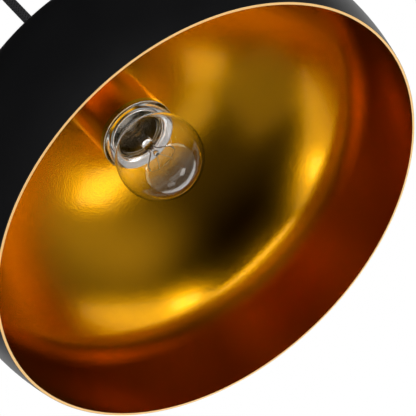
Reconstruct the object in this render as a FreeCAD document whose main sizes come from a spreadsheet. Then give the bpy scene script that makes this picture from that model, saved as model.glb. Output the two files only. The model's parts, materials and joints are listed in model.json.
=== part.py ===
"""Pendant lamp: a black dome shade with a gold inside, a screw-in round bulb and a ceiling canopy.

Millimetres, +Z up. The origin is in the ceiling plane, on the lamp's axis, so the lamp hangs below it.
Every outline is drawn as (radius, level), where level 0 is the plane of the shade's rim.
"""
import FreeCAD, Part
import math
import os
import Sketcher

SIZES = {
    # Shade, spun from one sheet
    "belly_radius": 120.0,
    "rim_inset": 7.0,
    "belly_level": 42.0,
    "shoulder_radius": 39.5,
    "crown_flat_radius": 22.5,
    "shade_level": 113.0,
    "shade_sheet": 1.2,
    "rim_bevel": 0.7,
    # Hang
    "ceiling_level": 350.0,
    "cord_radius": 3.0,
    "cord_end_past_pivot": 2.0,
    "core_radius": 1.1,
    "core_circle_radius": 1.9,
    "core_bend_radius": 3.0,
    "core_start_past_pivot": 3.0,
    "core_split_below_nipple": 2.2,
    "core_turn_height": 4.0,
    # Socket sleeve and the chrome ring at its lower end
    "sleeve_radius": 19.9,
    "sleeve_wall": 1.0,
    "sleeve_shoulder": 1.7,
    "collar_length": 10.0,
    "ring_below_shade": 30.7,
    "ring_overhang": 0.4,
    "ring_band_height": 3.2,
    "ring_lip_radius": 0.3,
    "ring_opening_gap": 0.7,
    "ring_bead_radius": 0.6,
    "ring_bead_rise": 1.3,
    "ring_dish_depth": 2.2,
    "ring_dish_radius": 9.0,
    "ring_web": 1.2,
    "ring_spigot_length": 5.0,
    "ring_spigot_wall": 1.0,
    # Neck cap above the shade
    "neck_cap_overhang": 0.6,
    "neck_cap_headroom": 7.5,
    "neck_cap_wall": 1.2,
    "neck_cap_corner": 4.0,
    # Socket insert, shell and contacts
    "floor_above_bulb": 1.0,
    "insert_floor": 5.0,
    "insert_rim_height": 2.0,
    "insert_rim_wall": 1.5,
    "shell_gap": 0.3,
    "shell_wall": 0.4,
    "shell_lip_radius": 8.0,
    "contact_leaf_width": 5.0,
    "contact_leaf": 0.4,
    "contact_leaf_reach": 6.0,
    "rivet_radius": 1.5,
    "shell_rivet_offset": 10.6,
    "strap_thickness": 0.6,
    "terminal_inner": 6.0,
    "terminal_depth": 6.0,
    "terminal_width": 7.0,
    "terminal_height": 6.4,
    "terminal_hole_radius": 1.35,
    "terminal_hole_depth": 4.4,
    "terminal_hole_inset": 0.8,
    "terminal_screw_drop": 2.5,
    "terminal_screw_length": 2.4,
    "terminal_screw_head_radius": 1.9,
    # Socket bridge
    "bridge_width": 14.0,
    "bridge_inset": 2.0,
    "bridge_strap": 1.5,
    "bridge_height": 24.0,
    "bridge_foot_edge": 0.3,
    "bridge_screw_depth": 4.0,
    "earth_lug_sheet": 0.8,
    "earth_lug_width": 6.0,
    "earth_screw_above_floor": 6.0,
    "earth_screw_head_radius": 2.2,
    "earth_barrel_radius": 1.7,
    "earth_barrel_length": 3.4,
    "earth_barrel_bore_depth": 2.4,
    "earth_screw_past_leg": 1.0,
    # Nipple, nuts and cord grips
    "nipple_radius": 5.0,
    "nipple_bore_radius": 3.9,
    "nipple_above_cap": 9.0,
    "nipple_below_bridge": 1.0,
    "nut_across_flats": 14.0,
    "nut_height": 4.0,
    "lamp_grip_height": 22.0,
    "lamp_grip_straight": 5.5,
    "lamp_grip_radius": 8.5,
    "lamp_grip_top_radius": 6.8,
    "lamp_pivot_above_cap": 14.0,
    "lamp_mouth_radius": 5.7,
    "ceiling_grip_height": 19.0,
    "ceiling_grip_straight": 3.8,
    "ceiling_grip_radius": 8.5,
    "ceiling_grip_end_radius": 7.2,
    "ceiling_pivot_below_canopy": 10.0,
    "bore_step_past_pivot": 2.8,
    "ceiling_mouth_radius": 6.2,
    "ceiling_spigot_length": 9.0,
    "throat_radius": 3.7,
    "grip_screw_radius": 1.9,
    "grip_screw_gap": 0.5,
    "grip_screw_length": 3.8,
    # Ceiling canopy and what is under it
    "canopy_radius": 40.0,
    "canopy_height": 30.0,
    "canopy_sheet": 1.0,
    "canopy_corner": 21.0,
    "bracket_width": 18.0,
    "bracket_sheet": 2.0,
    "bracket_gap": 2.5,
    "bracket_ear": 8.0,
    "bracket_bend": 3.0,
    "slot_offset": 25.0,
    "slot_length": 8.0,
    "slot_width": 4.4,
    "canopy_screw_drop": 5.0,
    "canopy_screw_radius": 1.6,
    "canopy_screw_head_radius": 3.2,
    "canopy_screw_head": 1.8,
    "canopy_screw_past_ear": 0.5,
    "block_width": 17.0,
    "block_length": 30.0,
    "block_height": 14.0,
    "pole_pitch": 10.0,
    "pole_drop": 8.0,
    "pole_radius": 2.1,
    "pole_bore_radius": 1.4,
    "pole_recess": 1.0,
    "pole_screw_offset": 4.6,
    "pole_screw_radius": 1.7,
    "block_screw_offset": 5.0,
    "block_screw_radius": 1.5,
    "block_screw_head_radius": 2.6,
    "ceiling_core_turn_offset": 15.0,
    "ceiling_core_run_drop": 18.6,
    "ceiling_core_end_offset": 2.3,
    # Bulb
    "globe_radius": 22.5,
    "glass_wall": 0.6,
    "neck_length": 3.9,
    "neck_cement": 0.1,
    "neck_blend_radius": 6.0,
    "glass_in_cap": 6.0,
    "bulb_cap_above_web": 0.3,
    "bulb_cap_radius": 13.1,
    "bulb_cap_wall": 0.4,
    "bulb_cap_length": 22.0,
    "bulb_cap_crown": 2.0,
    "bulb_cap_crown_inset": 2.5,
    "contact_above_cap": 5.0,
    "insulator_tip_radius": 5.6,
    "contact_radius": 4.8,
    "contact_height": 1.2,
    "stem_tube_radius": 3.2,
    "stem_press_above_globe": 9.5,
    "stem_press_radius": 2.6,
    "stem_press_height": 4.0,
    "stem_bead_radius": 1.6,
    "stem_bead_above_globe": 4.0,
    "filament_below_globe": 3.5,
    "filament_half_span": 8.0,
    "filament_rise": 1.5,
    "filament_post": 1.2,
    "filament_bend": 1.0,
    "filament_radius": 0.25,
    "lead_wire_radius": 0.3,
    "support_wire_radius": 0.15,
    "lead_wire_spread": 1.6,
    "lead_wire_drop": 2.0,
    "lead_wire_post": 4.0,
    "lead_wire_bend": 3.0,
    # Fits
    "thread_clearance": 0.1,
    "thread_relief": 0.4,
    "hole_clearance": 0.2,
    "insert_clearance": 0.15,
    "screw_head": 1.8,
    "screw_head_radius": 2.5,
    "screw_shank_radius": 1.4,
}

doc = FreeCAD.newDocument("pendant_lamp")
sheet = doc.addObject("Spreadsheet::Sheet", "sizes")
for row, (alias, number) in enumerate(SIZES.items(), start=1):
    sheet.set("A%d" % row, alias)
    sheet.set("B%d" % row, str(number))
    sheet.setAlias("B%d" % row, alias)
doc.recompute()


class Size:
    """A length that carries its number and the sheet expression that it comes from."""

    def __init__(self, value, text):
        self.value = value
        self.text = text

    def __add__(self, other):
        other = as_size(other)
        return Size(self.value + other.value, "(%s + %s)" % (self.text, other.text))

    def __sub__(self, other):
        other = as_size(other)
        return Size(self.value - other.value, "(%s - %s)" % (self.text, other.text))

    def __mul__(self, other):
        other = as_size(other)
        return Size(self.value * other.value, "(%s * %s)" % (self.text, other.text))

    def __truediv__(self, other):
        other = as_size(other)
        return Size(self.value / other.value, "(%s / %s)" % (self.text, other.text))

    def __neg__(self):
        return as_size(0) - self

    __radd__ = __add__
    __rmul__ = __mul__

    def __rsub__(self, other):
        return as_size(other) - self

    def root(self):
        return Size(math.sqrt(self.value), "sqrt(%s)" % self.text)


def as_size(number):
    return number if isinstance(number, Size) else Size(float(number), repr(float(number)))


def size(alias):
    return Size(sheet.get(alias), "sizes." + alias)


def bind(thing, name, length):
    """Bind a property or constraint to a size's expression."""
    thing.setExpression(name, as_size(length).text)


shade_level = size("shade_level")
shade_sheet = size("shade_sheet")
ceiling = size("ceiling_level")
thread = size("thread_clearance")
hole = size("hole_clearance")
UP = FreeCAD.Vector(0, 0, 1)
pieces = []


def finish(piece, label):
    """Hang a finished sub-part under the ceiling plane and keep it for the checks and the export."""
    piece.Label = label
    bind(piece, "Placement.Base.z", -ceiling)
    pieces.append(piece)
    return piece


def origin_feature(body, role):
    return [item for item in body.Origin.OriginFeatures if item.Role == role][0]


def new_body(label):
    body = doc.addObject("PartDesign::Body", label)
    body.AllowCompound = True
    return finish(body, label)


def new_sketch(body, plane="XZ_Plane", offset=None):
    sketch = body.newObject("Sketcher::SketchObject", body.Name + "_sketch")
    sketch.AttachmentSupport = [(origin_feature(body, plane), "")]
    sketch.MapMode = "FlatFace"
    if offset is not None:
        bind(sketch, "AttachmentOffset.Base.z", offset)
    return sketch


def constrain(sketch, kind, geometry, point, length):
    """Fix one coordinate, or a radius, and bind it to its size."""
    length = as_size(length)
    if kind == "Radius":
        index = sketch.addConstraint(Sketcher.Constraint(kind, geometry, length.value))
    elif length.text == "0.0":
        axis = -2 if kind == "DistanceX" else -1
        sketch.addConstraint(Sketcher.Constraint("PointOnObject", geometry, point, axis))
        return
    else:
        index = sketch.addConstraint(Sketcher.Constraint(kind, geometry, point, length.value))
    bind(sketch, "Constraints[%d]" % index, length)


def arc_between(start, end, radius, turn):
    """The short arc from start to end. turn is 1 where it curves to the left of travel, -1 to the right."""
    chord = end - start
    middle = (start + end) * 0.5
    reach = math.sqrt(max(radius ** 2 - (chord.Length / 2) ** 2, 0.0))
    left = FreeCAD.Vector(-chord.y, chord.x, 0).normalize()
    centre = middle + left * (turn * reach)
    first, last = (start, end) if turn > 0 else (end, start)
    begin = math.atan2(first.y - centre.y, first.x - centre.x)
    finish_angle = math.atan2(last.y - centre.y, last.x - centre.x)
    if finish_angle < begin:
        finish_angle += 2 * math.pi
    return Part.ArcOfCircle(Part.Circle(centre, UP, radius), begin, finish_angle)


def draw(sketch, corners):
    """A closed outline. A corner is (x, y), or (x, y, radius, turn) where an arc arrives at it."""
    points = [FreeCAD.Vector(as_size(c[0]).value, as_size(c[1]).value, 0) for c in corners]
    count = len(corners)
    starts = []
    ends = []
    for number in range(count):
        following = (number + 1) % count
        arrival = corners[following]
        if len(arrival) == 4:
            radius, turn = as_size(arrival[2]), arrival[3]
            edge = arc_between(points[number], points[following], radius.value, turn)
            index = sketch.addGeometry(edge, False)
            starts.append((index, 1 if turn > 0 else 2))
            ends.append((index, 2 if turn > 0 else 1))
        else:
            index = sketch.addGeometry(Part.LineSegment(points[number], points[following]), False)
            starts.append((index, 1))
            ends.append((index, 2))
    for number in range(count):
        following = (number + 1) % count
        sketch.addConstraint(Sketcher.Constraint("Coincident", *ends[number], *starts[following]))
    for number, corner in enumerate(corners):
        constrain(sketch, "DistanceX", *starts[number], corner[0])
        constrain(sketch, "DistanceY", *starts[number], corner[1])
    for number in range(count):
        arrival = corners[(number + 1) % count]
        if len(arrival) == 4:
            constrain(sketch, "Radius", ends[number][0], None, arrival[2])


def revolve(body, corners, axis_x=None, offset=None):
    """Turn an outline of (radius, level) corners about the vertical axis at axis_x, -offset in Y."""
    sketch = new_sketch(body, "XZ_Plane", offset)
    if axis_x is not None:
        corners = [(axis_x + c[0], *c[1:]) for c in corners]
    draw(sketch, corners)
    axis = "V_Axis"
    if axis_x is not None:
        foot = FreeCAD.Vector(as_size(axis_x).value, 0, 0)
        line = sketch.addGeometry(Part.LineSegment(foot, foot + FreeCAD.Vector(0, 1, 0)), True)
        constrain(sketch, "DistanceX", line, 1, axis_x)
        constrain(sketch, "DistanceY", line, 1, 0)
        sketch.addConstraint(Sketcher.Constraint("Vertical", line))
        sketch.addConstraint(Sketcher.Constraint("DistanceY", line, 1, line, 2, 1.0))
        axis = "Axis0"
    feature = body.newObject("PartDesign::Revolution", "turned")
    feature.Profile = sketch
    feature.ReferenceAxis = (sketch, [axis])
    feature.Angle = 360
    return feature


def turned(label, corners, axis_x=None, offset=None):
    body = new_body(label)
    revolve(body, corners, axis_x, offset)
    return body


def turned_across(label, corners, level, plane="XZ_Plane", offset=None):
    """Turn an outline of (distance along, radius) corners about a level axis at the given level."""
    body = new_body(label)
    sketch = new_sketch(body, plane, offset)
    draw(sketch, [(c[0], level + c[1], *c[2:]) for c in corners])
    start = FreeCAD.Vector(0, as_size(level).value, 0)
    line = sketch.addGeometry(Part.LineSegment(start, start + FreeCAD.Vector(1, 0, 0)), True)
    constrain(sketch, "DistanceX", line, 1, 0)
    constrain(sketch, "DistanceY", line, 1, level)
    sketch.addConstraint(Sketcher.Constraint("Horizontal", line))
    sketch.addConstraint(Sketcher.Constraint("DistanceX", line, 1, line, 2, 1.0))
    feature = body.newObject("PartDesign::Revolution", "turned")
    feature.Profile = sketch
    feature.ReferenceAxis = (sketch, ["Axis0"])
    feature.Angle = 360
    return body


def rectangle(x0, x1, y0, y1):
    return [(x0, y0), (x1, y0), (x1, y1), (x0, y1)]


def pad(body, corners, start, length, plane="XY_Plane"):
    """Raise an outline from the offset start, along the plane's normal, by length."""
    sketch = new_sketch(body, plane, start)
    draw(sketch, corners)
    feature = body.newObject("PartDesign::Pad", "raised")
    feature.Profile = sketch
    bind(feature, "Length", length)
    return feature


def cut_less(body, feature, before):
    """Make sure that a cut took material away."""
    doc.recompute()
    if not body.Shape.Volume < before - 1e-6:
        raise RuntimeError("%s cut nothing from %s" % (feature.Name, body.Label))


def pocket(body, corners, top, depth, plane="XY_Plane", back=False):
    """Cut an outline from the offset top, against the plane's normal, or along it where back is set."""
    doc.recompute()
    before = body.Shape.Volume
    sketch = new_sketch(body, plane, top)
    draw(sketch, corners)
    feature = body.newObject("PartDesign::Pocket", "cut")
    feature.Profile = sketch
    feature.Reversed = back
    bind(feature, "Length", depth)
    cut_less(body, feature, before)
    return feature


def drill(body, x, y, radius, top, depth, plane="XY_Plane", back=False):
    """Drill a round hole from the offset top, against the plane's normal, or along it."""
    doc.recompute()
    before = body.Shape.Volume
    sketch = new_sketch(body, plane, top)
    x, y, radius = as_size(x), as_size(y), as_size(radius)
    circle = Part.Circle(FreeCAD.Vector(x.value, y.value, 0), UP, radius.value)
    index = sketch.addGeometry(circle, False)
    constrain(sketch, "Radius", index, None, radius)
    constrain(sketch, "DistanceX", index, 3, x)
    constrain(sketch, "DistanceY", index, 3, y)
    feature = body.newObject("PartDesign::Pocket", "drilled")
    feature.Profile = sketch
    feature.Reversed = back
    bind(feature, "Length", depth)
    cut_less(body, feature, before)
    return feature


def mirror(body, plane="YZ_Plane"):
    """Repeat the whole body on the other side of one of its origin planes."""
    doc.recompute()
    feature = body.newObject("PartDesign::Mirrored", "mirrored")
    feature.TransformMode = "Whole shape"
    feature.MirrorPlane = (origin_feature(body, plane), [""])
    body.Tip = feature
    return feature


def mirror_cuts(body, cuts, plane="YZ_Plane"):
    """Repeat cuts on the other side of one of the body's origin planes."""
    doc.recompute()
    before = body.Shape.Volume
    feature = body.newObject("PartDesign::Mirrored", "mirrored_cuts")
    feature.Originals = cuts
    feature.MirrorPlane = (origin_feature(body, plane), [""])
    body.Tip = feature
    cut_less(body, feature, before)
    return feature


def repeat_cuts(body, cuts, axis, pitch, count):
    """Repeat cuts in a row along one of the body's origin axes."""
    doc.recompute()
    before = body.Shape.Volume
    feature = body.newObject("PartDesign::LinearPattern", "row_of_cuts")
    feature.Originals = cuts
    feature.Direction = (origin_feature(body, axis), [""])
    feature.Occurrences = count
    bind(feature, "Length", pitch * (count - 1))
    body.Tip = feature
    cut_less(body, feature, before)
    return feature


def repeat(body, axis, pitch, count):
    """Repeat the whole body in a row along one of its origin axes."""
    doc.recompute()
    feature = body.newObject("PartDesign::LinearPattern", "row")
    feature.TransformMode = "Whole shape"
    feature.Direction = (origin_feature(body, axis), [""])
    feature.Occurrences = count
    bind(feature, "Length", pitch * (count - 1))
    body.Tip = feature
    return feature


def cylinder(name, radius, level, height):
    solid = doc.addObject("Part::Cylinder", name)
    bind(solid, "Radius", radius)
    bind(solid, "Height", height)
    bind(solid, "Placement.Base.z", level)
    return solid


def hex_nut(label, level):
    """A hexagon nut on the nipple thread, its lower face at the given level."""
    prism = doc.addObject("Part::Prism", label + "_hexagon")
    prism.Polygon = 6
    bind(prism, "Circumradius", size("nut_across_flats") / math.sqrt(3))
    bind(prism, "Height", size("nut_height"))
    bind(prism, "Placement.Base.z", level)
    bore = cylinder(label + "_bore", size("nipple_radius") + thread, level, size("nut_height"))
    nut = doc.addObject("Part::Cut", label)
    nut.Base = prism
    nut.Tool = bore
    return finish(nut, label)


def wire_path(points, bend):
    """Straight runs joined by tangent arcs of the bend radius, or less where the runs are short."""
    points = [FreeCAD.Vector(*[as_size(number).value for number in point]) for point in points]
    edges = []
    here = points[0]
    for before, corner, after in zip(points, points[1:], points[2:]):
        inward = (before - corner).normalize()
        outward = (after - corner).normalize()
        half_turn = (math.pi - inward.getAngle(outward)) / 2
        run = min((before - corner).Length, (after - corner).Length)
        back = min(bend * math.tan(half_turn), 0.45 * run)
        radius = back / math.tan(half_turn)
        into = corner + inward * back
        away = corner + outward * back
        middle = (inward + outward).normalize()
        centre_distance = radius / math.cos(half_turn)
        crest = corner + middle * (centre_distance - radius)
        edges.append(Part.LineSegment(here, into).toShape())
        edges.append(Part.Arc(into, crest, away).toShape())
        here = away
    edges.append(Part.LineSegment(here, points[-1]).toShape())
    return Part.Wire(edges)


def wire_solid(points, radius, bend):
    """A round wire along a path, its volume compared with its section times its length."""
    path = wire_path(points, bend)
    first = path.Edges[0]
    start = first.valueAt(first.FirstParameter)
    circle = Part.Circle(start, first.tangentAt(first.FirstParameter), radius)
    solid = path.makePipeShell([Part.Wire([circle.toShape()])], True, True)
    wanted = math.pi * radius ** 2 * path.Length
    if abs(solid.Volume - wanted) > 0.01 * wanted:
        raise RuntimeError("a wire is %.3f of its proper volume" % (solid.Volume / wanted))
    return solid


def wires(label, routes, radius, bend):
    """One node of separate wires, each along its own route."""
    node = doc.addObject("Part::Feature", label)
    solids = [wire_solid(route, radius, bend) for route in routes]
    node.Shape = solids[0] if len(solids) == 1 else Part.makeCompound(solids)
    return finish(node, label)


# Shade: one sheet spun over a former. The wall leans out to the belly, turns in over the shoulder
# and runs over the crown to a small flat, where the neck cap and the sleeve clamp it.
belly_radius = size("belly_radius")
overhang = size("rim_inset")
rim_radius = belly_radius - overhang
belly_level = size("belly_level")
shoulder = size("shoulder_radius")
flat = size("crown_flat_radius")
bevel = size("rim_bevel")
wall_arc = (overhang * overhang + belly_level * belly_level) / (2 * overhang)
wall_centre = belly_radius - wall_arc
shoulder_centre = belly_radius - shoulder
reach = shoulder_centre - flat
rise = shade_level - belly_level
crown_arc = (reach * reach + rise * rise - shoulder * shoulder) / (2 * (rise - shoulder))
slope_x = reach / (crown_arc - shoulder)
slope_z = (belly_level - shade_level + crown_arc) / (crown_arc - shoulder)
inside_shoulder = shoulder - shade_sheet
inside_wall = wall_arc - shade_sheet
inside_rim = wall_centre + (inside_wall * inside_wall - belly_level * belly_level).root()
above_bevel = belly_level - bevel
bevel_radius = wall_centre + (wall_arc * wall_arc - above_bevel * above_bevel).root()
sleeve_radius = size("sleeve_radius")
collar_radius = sleeve_radius - size("sleeve_shoulder")
shade_hole = collar_radius + hole
ceiling_inside = shade_level - shade_sheet
turned("shade", [
    (inside_rim, 0, inside_wall, -1),
    (rim_radius - bevel, 0),
    (bevel_radius, bevel),
    (belly_radius, belly_level, wall_arc, 1),
    (shoulder_centre + shoulder * slope_x, belly_level + shoulder * slope_z, shoulder, 1),
    (flat, shade_level, crown_arc, 1),
    (shade_hole, shade_level),
    (shade_hole, ceiling_inside),
    (flat, ceiling_inside),
    (shoulder_centre + inside_shoulder * slope_x, belly_level + inside_shoulder * slope_z,
     crown_arc - shade_sheet, -1),
    (belly_radius - shade_sheet, belly_level, inside_shoulder, -1),
])

# Chrome ring: screws into the sleeve from below. Its face is a shallow dish between a thin bevelled
# lip and a raised bead about the opening that the bulb passes through.
ring_radius = sleeve_radius + size("ring_overhang")
ring_level = shade_level - size("ring_below_shade")
lip = size("ring_lip_radius")
bead = size("ring_bead_radius")
cap_radius = size("bulb_cap_radius")
opening = cap_radius + size("ring_opening_gap")
sleeve_wall = size("sleeve_wall")
sleeve_foot = ring_level + size("ring_band_height")
sleeve_bore = sleeve_radius - sleeve_wall
spigot_radius = sleeve_bore - thread
spigot_bore = spigot_radius - size("ring_spigot_wall")
bead_level = ring_level + size("ring_bead_rise")
dish_level = ring_level + size("ring_dish_depth")
web_level = dish_level + size("ring_web")
turned("chrome_ring", [
    (opening, bead_level),
    (opening + bead / 2, bead_level - bead),
    (opening + bead / 2 + bead, bead_level - bead),
    (opening + 2 * bead, bead_level),
    (opening + 2 * bead, dish_level),
    (ring_radius - 2 * lip, ring_level + lip, size("ring_dish_radius"), -1),
    (ring_radius - lip / 2 - lip, ring_level),
    (ring_radius - lip / 2, ring_level),
    (ring_radius, ring_level + lip),
    (ring_radius, sleeve_foot),
    (spigot_radius, sleeve_foot),
    (spigot_radius, sleeve_foot + size("ring_spigot_length")),
    (spigot_bore, sleeve_foot + size("ring_spigot_length")),
    (spigot_bore, web_level),
    (opening, web_level),
])

# Socket sleeve: the gold tube under the shade. Its shoulder presses on the underside of the shade
# and its threaded collar passes up through the shade into the neck cap.
collar_bore = collar_radius - sleeve_wall
turned("socket_sleeve", [
    (sleeve_bore, sleeve_foot),
    (sleeve_radius, sleeve_foot),
    (sleeve_radius, ceiling_inside),
    (collar_radius, ceiling_inside),
    (collar_radius, ceiling_inside + size("collar_length")),
    (collar_bore, ceiling_inside + size("collar_length")),
    (collar_bore, ceiling_inside - sleeve_wall),
    (sleeve_bore, ceiling_inside - sleeve_wall),
])

# Levels inside the lamp: the ring carries the bulb's place, and the bulb's tip sets the porcelain
# floor, the bridge over it and the top of the neck cap.
cap_level = web_level + size("bulb_cap_above_web")
cap_top = cap_level + size("bulb_cap_length")
bulb_tip = cap_top + size("contact_above_cap")
floor_level = bulb_tip + size("floor_above_bulb")
floor_top = floor_level + size("insert_floor")
bridge_strap = size("bridge_strap")
bridge_level = floor_top + size("bridge_height")
bridge_top = bridge_level + bridge_strap

# Neck cap: a black cup that stands on the shade, threaded inside its foot for the sleeve's collar.
neck_radius = sleeve_radius + size("neck_cap_overhang")
neck_wall = size("neck_cap_wall")
neck_corner = size("neck_cap_corner")
neck_top = bridge_top + size("neck_cap_headroom")
neck_thread_end = ceiling_inside + size("collar_length") + size("thread_relief")
nipple_radius = size("nipple_radius")
nipple_hole = nipple_radius + hole
turned("neck_cap", [
    (collar_radius + thread, shade_level),
    (neck_radius, shade_level),
    (neck_radius, neck_top - neck_corner),
    (neck_radius - neck_corner, neck_top),
    (nipple_hole, neck_top),
    (nipple_hole, neck_top - neck_wall),
    (neck_radius - neck_corner, neck_top - neck_wall),
    (neck_radius - neck_wall, neck_top - neck_corner),
    (neck_radius - neck_wall, neck_thread_end + neck_wall),
    (collar_radius + thread, neck_thread_end),
])

# Socket insert: a porcelain cup. The screw shell fills its bore from below, and its floor carries
# the rivets, the terminals and the feet of the bridge.
insert_radius = collar_bore - hole
shell_bore = cap_radius + size("shell_gap")
shell_wall = size("shell_wall")
insert_bore = shell_bore + shell_wall + size("insert_clearance")
insert_top = floor_top + size("insert_rim_height")
insert_inner_rim = insert_radius - size("insert_rim_wall")
rivet = size("rivet_radius")
rivet_offset = size("shell_rivet_offset")
bridge_span = insert_inner_rim - size("bridge_inset")
bridge_inside = bridge_span - bridge_strap
screw_head_radius = size("screw_head_radius")
bridge_screw_offset = bridge_inside - screw_head_radius - hole
shank = size("screw_shank_radius")
insert = turned("socket_insert", [
    (insert_bore, web_level),
    (insert_radius, web_level),
    (insert_radius, insert_top),
    (insert_inner_rim, insert_top),
    (insert_inner_rim, floor_top),
    (0, floor_top),
    (0, floor_level),
    (insert_bore, floor_level),
])
drill(insert, 0, 0, rivet + thread, floor_top, size("insert_floor"))
drill(insert, 0, rivet_offset, rivet + thread, floor_top, size("insert_floor"))
for side in (-1, 1):
    drill(insert, side * bridge_screw_offset, 0, shank + thread, floor_top, size("insert_floor"))

# Screw shell: thin metal cup with an open, turned-in floor, which touches the bulb's screw cap.
shell_top = floor_level - thread
turned("screw_shell", [
    (shell_bore, web_level + shell_wall),
    (shell_bore + shell_wall, web_level + shell_wall),
    (shell_bore + shell_wall, shell_top),
    (size("shell_lip_radius"), shell_top),
    (size("shell_lip_radius"), shell_top - shell_wall),
    (shell_bore, shell_top - shell_wall),
])

# Centre contact: a bowed leaf under the porcelain floor, on a rivet that goes up to its terminal.
leaf = size("contact_leaf")
leaf_reach = size("contact_leaf_reach")
leaf_half = size("contact_leaf_width") / 2
strap = size("strap_thickness")
terminal_inner = size("terminal_inner")
terminal_outer = terminal_inner + size("terminal_depth")
contact = new_body("centre_contact")
pad(contact, [
    (-leaf_reach, floor_level - leaf),
    (-leaf_half, bulb_tip),
    (leaf_half, bulb_tip),
    (leaf_reach, floor_level - leaf),
    (leaf_reach, floor_level),
    (-leaf_reach, floor_level),
], -leaf_half, 2 * leaf_half, "XZ_Plane")
revolve(contact, [(0, bulb_tip), (rivet, bulb_tip), (rivet, floor_top + strap), (0, floor_top + strap)])
pad(contact, rectangle(-rivet, rivet, -terminal_outer, 0), floor_top, strap)

# Shell rivet: joins the shell's floor to the second terminal's strap.
shell_rivet = new_body("shell_rivet")
revolve(shell_rivet, [(0, shell_top), (rivet, shell_top), (rivet, floor_top + strap),
                      (0, floor_top + strap)], 0, -rivet_offset)
pad(shell_rivet, rectangle(-rivet, rivet, terminal_inner, terminal_outer), floor_top, strap)

# Socket terminals: two brass blocks, one each side, bored from above for the core and from outside
# for the clamping screw.
terminal_half = size("terminal_width") / 2
terminal_level = floor_top + strap
terminal_top = terminal_level + size("terminal_height")
terminal_middle = (terminal_inner + terminal_outer) / 2
core_hole = size("terminal_hole_radius")
core_hole_depth = size("terminal_hole_depth")
core_hole_y = terminal_middle - size("terminal_hole_inset")
screw_level = terminal_top - size("terminal_screw_drop")
terminals = new_body("socket_terminals")
pad(terminals, rectangle(-terminal_half, terminal_half, terminal_inner, terminal_outer),
    terminal_level, size("terminal_height"))
drill(terminals, 0, core_hole_y, core_hole, terminal_top, core_hole_depth)
drill(terminals, 0, screw_level, shank + thread, -terminal_outer, size("terminal_depth") / 2,
      "XZ_Plane", True)
mirror(terminals, "XZ_Plane")

# Socket terminal screws: clamp the cores from outside.
screw_head = size("screw_head")
terminal_screw_tip = terminal_outer - size("terminal_screw_length")
terminal_head_radius = size("terminal_screw_head_radius")
turned_across("socket_terminal_screws", [
    (terminal_screw_tip, 0),
    (terminal_outer + screw_head, 0),
    (terminal_outer + screw_head, terminal_head_radius),
    (terminal_outer, terminal_head_radius),
    (terminal_outer, shank),
    (terminal_screw_tip, shank),
], screw_level, "YZ_Plane")
mirror(pieces[-1], "XZ_Plane")

# Socket bridge: a steel strap bent to a frame. Its feet are screwed to the porcelain and its top is
# tapped for the nipple, so it carries the socket.
foot_inner = bridge_screw_offset - screw_head_radius - size("bridge_foot_edge")
foot_top = floor_top + bridge_strap
bridge_half = size("bridge_width") / 2
earth_level = floor_top + size("earth_screw_above_floor")
bridge = new_body("socket_bridge")
pad(bridge, [
    (foot_inner, floor_top),
    (bridge_span, floor_top),
    (bridge_span, bridge_top),
    (-bridge_span, bridge_top),
    (-bridge_span, floor_top),
    (-foot_inner, floor_top),
    (-foot_inner, foot_top),
    (-bridge_inside, foot_top),
    (-bridge_inside, bridge_level),
    (bridge_inside, bridge_level),
    (bridge_inside, foot_top),
    (foot_inner, foot_top),
], -bridge_half, 2 * bridge_half, "XZ_Plane")
drill(bridge, 0, 0, nipple_radius + thread, bridge_top, bridge_strap)
drill(bridge, 0, earth_level, shank + thread, bridge_span, bridge_strap, "YZ_Plane")
foot_hole = drill(bridge, bridge_screw_offset, 0, shank + thread, foot_top, bridge_strap)
mirror_cuts(bridge, [foot_hole])

# Bridge screws: hold the feet of the bridge to the porcelain floor.
bridge_screw_tip = floor_top - size("bridge_screw_depth")
turned("bridge_screws", [
    (0, bridge_screw_tip),
    (shank, bridge_screw_tip),
    (shank, foot_top),
    (screw_head_radius, foot_top),
    (screw_head_radius, foot_top + screw_head),
    (0, foot_top + screw_head),
], bridge_screw_offset)
mirror(pieces[-1])

# Earth lug and its screw: bond the metal lamp to the earth core, on the inside of the bridge's leg.
lug_sheet = size("earth_lug_sheet")
lug_half = size("earth_lug_width") / 2
lug_face = bridge_inside - lug_sheet
barrel_radius = size("earth_barrel_radius")
earth_head_radius = size("earth_screw_head_radius")
barrel_foot = earth_level + earth_head_radius + hole
barrel_top = barrel_foot + size("earth_barrel_length")
barrel_bore_depth = size("earth_barrel_bore_depth")
barrel_x = bridge_inside - hole - barrel_radius
core_radius = size("core_radius")
lug = new_body("earth_lug")
pad(lug, rectangle(-lug_half, lug_half, earth_level - earth_head_radius, barrel_top),
    lug_face, lug_sheet, "YZ_Plane")
revolve(lug, [(0, barrel_foot), (barrel_radius, barrel_foot), (barrel_radius, barrel_top),
              (0, barrel_top)], barrel_x)
drill(lug, 0, earth_level, shank + thread, bridge_inside, lug_sheet, "YZ_Plane")
drill(lug, barrel_x, 0, core_radius + thread, barrel_top, barrel_bore_depth)
earth_screw_tip = bridge_span + size("earth_screw_past_leg")
turned_across("earth_screw", [
    (lug_face - screw_head, 0),
    (earth_screw_tip, 0),
    (earth_screw_tip, shank),
    (lug_face, shank),
    (lug_face, earth_head_radius),
    (lug_face - screw_head, earth_head_radius),
], earth_level)

# Nipple: a threaded tube through bridge, neck cap and cord grip, with the cores inside it.
nipple_bore = size("nipple_bore_radius")
nipple_foot = bridge_level - size("nipple_below_bridge")
nipple_top = neck_top + size("nipple_above_cap")
nipple = doc.addObject("Part::Cut", "nipple")
nipple.Base = cylinder("nipple_rod", nipple_radius, nipple_foot, nipple_top - nipple_foot)
nipple.Tool = cylinder("nipple_bore", nipple_bore, nipple_foot, nipple_top - nipple_foot)
finish(nipple, "nipple")
hex_nut("nipple_nut", neck_top - neck_wall - size("nut_height"))


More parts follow.
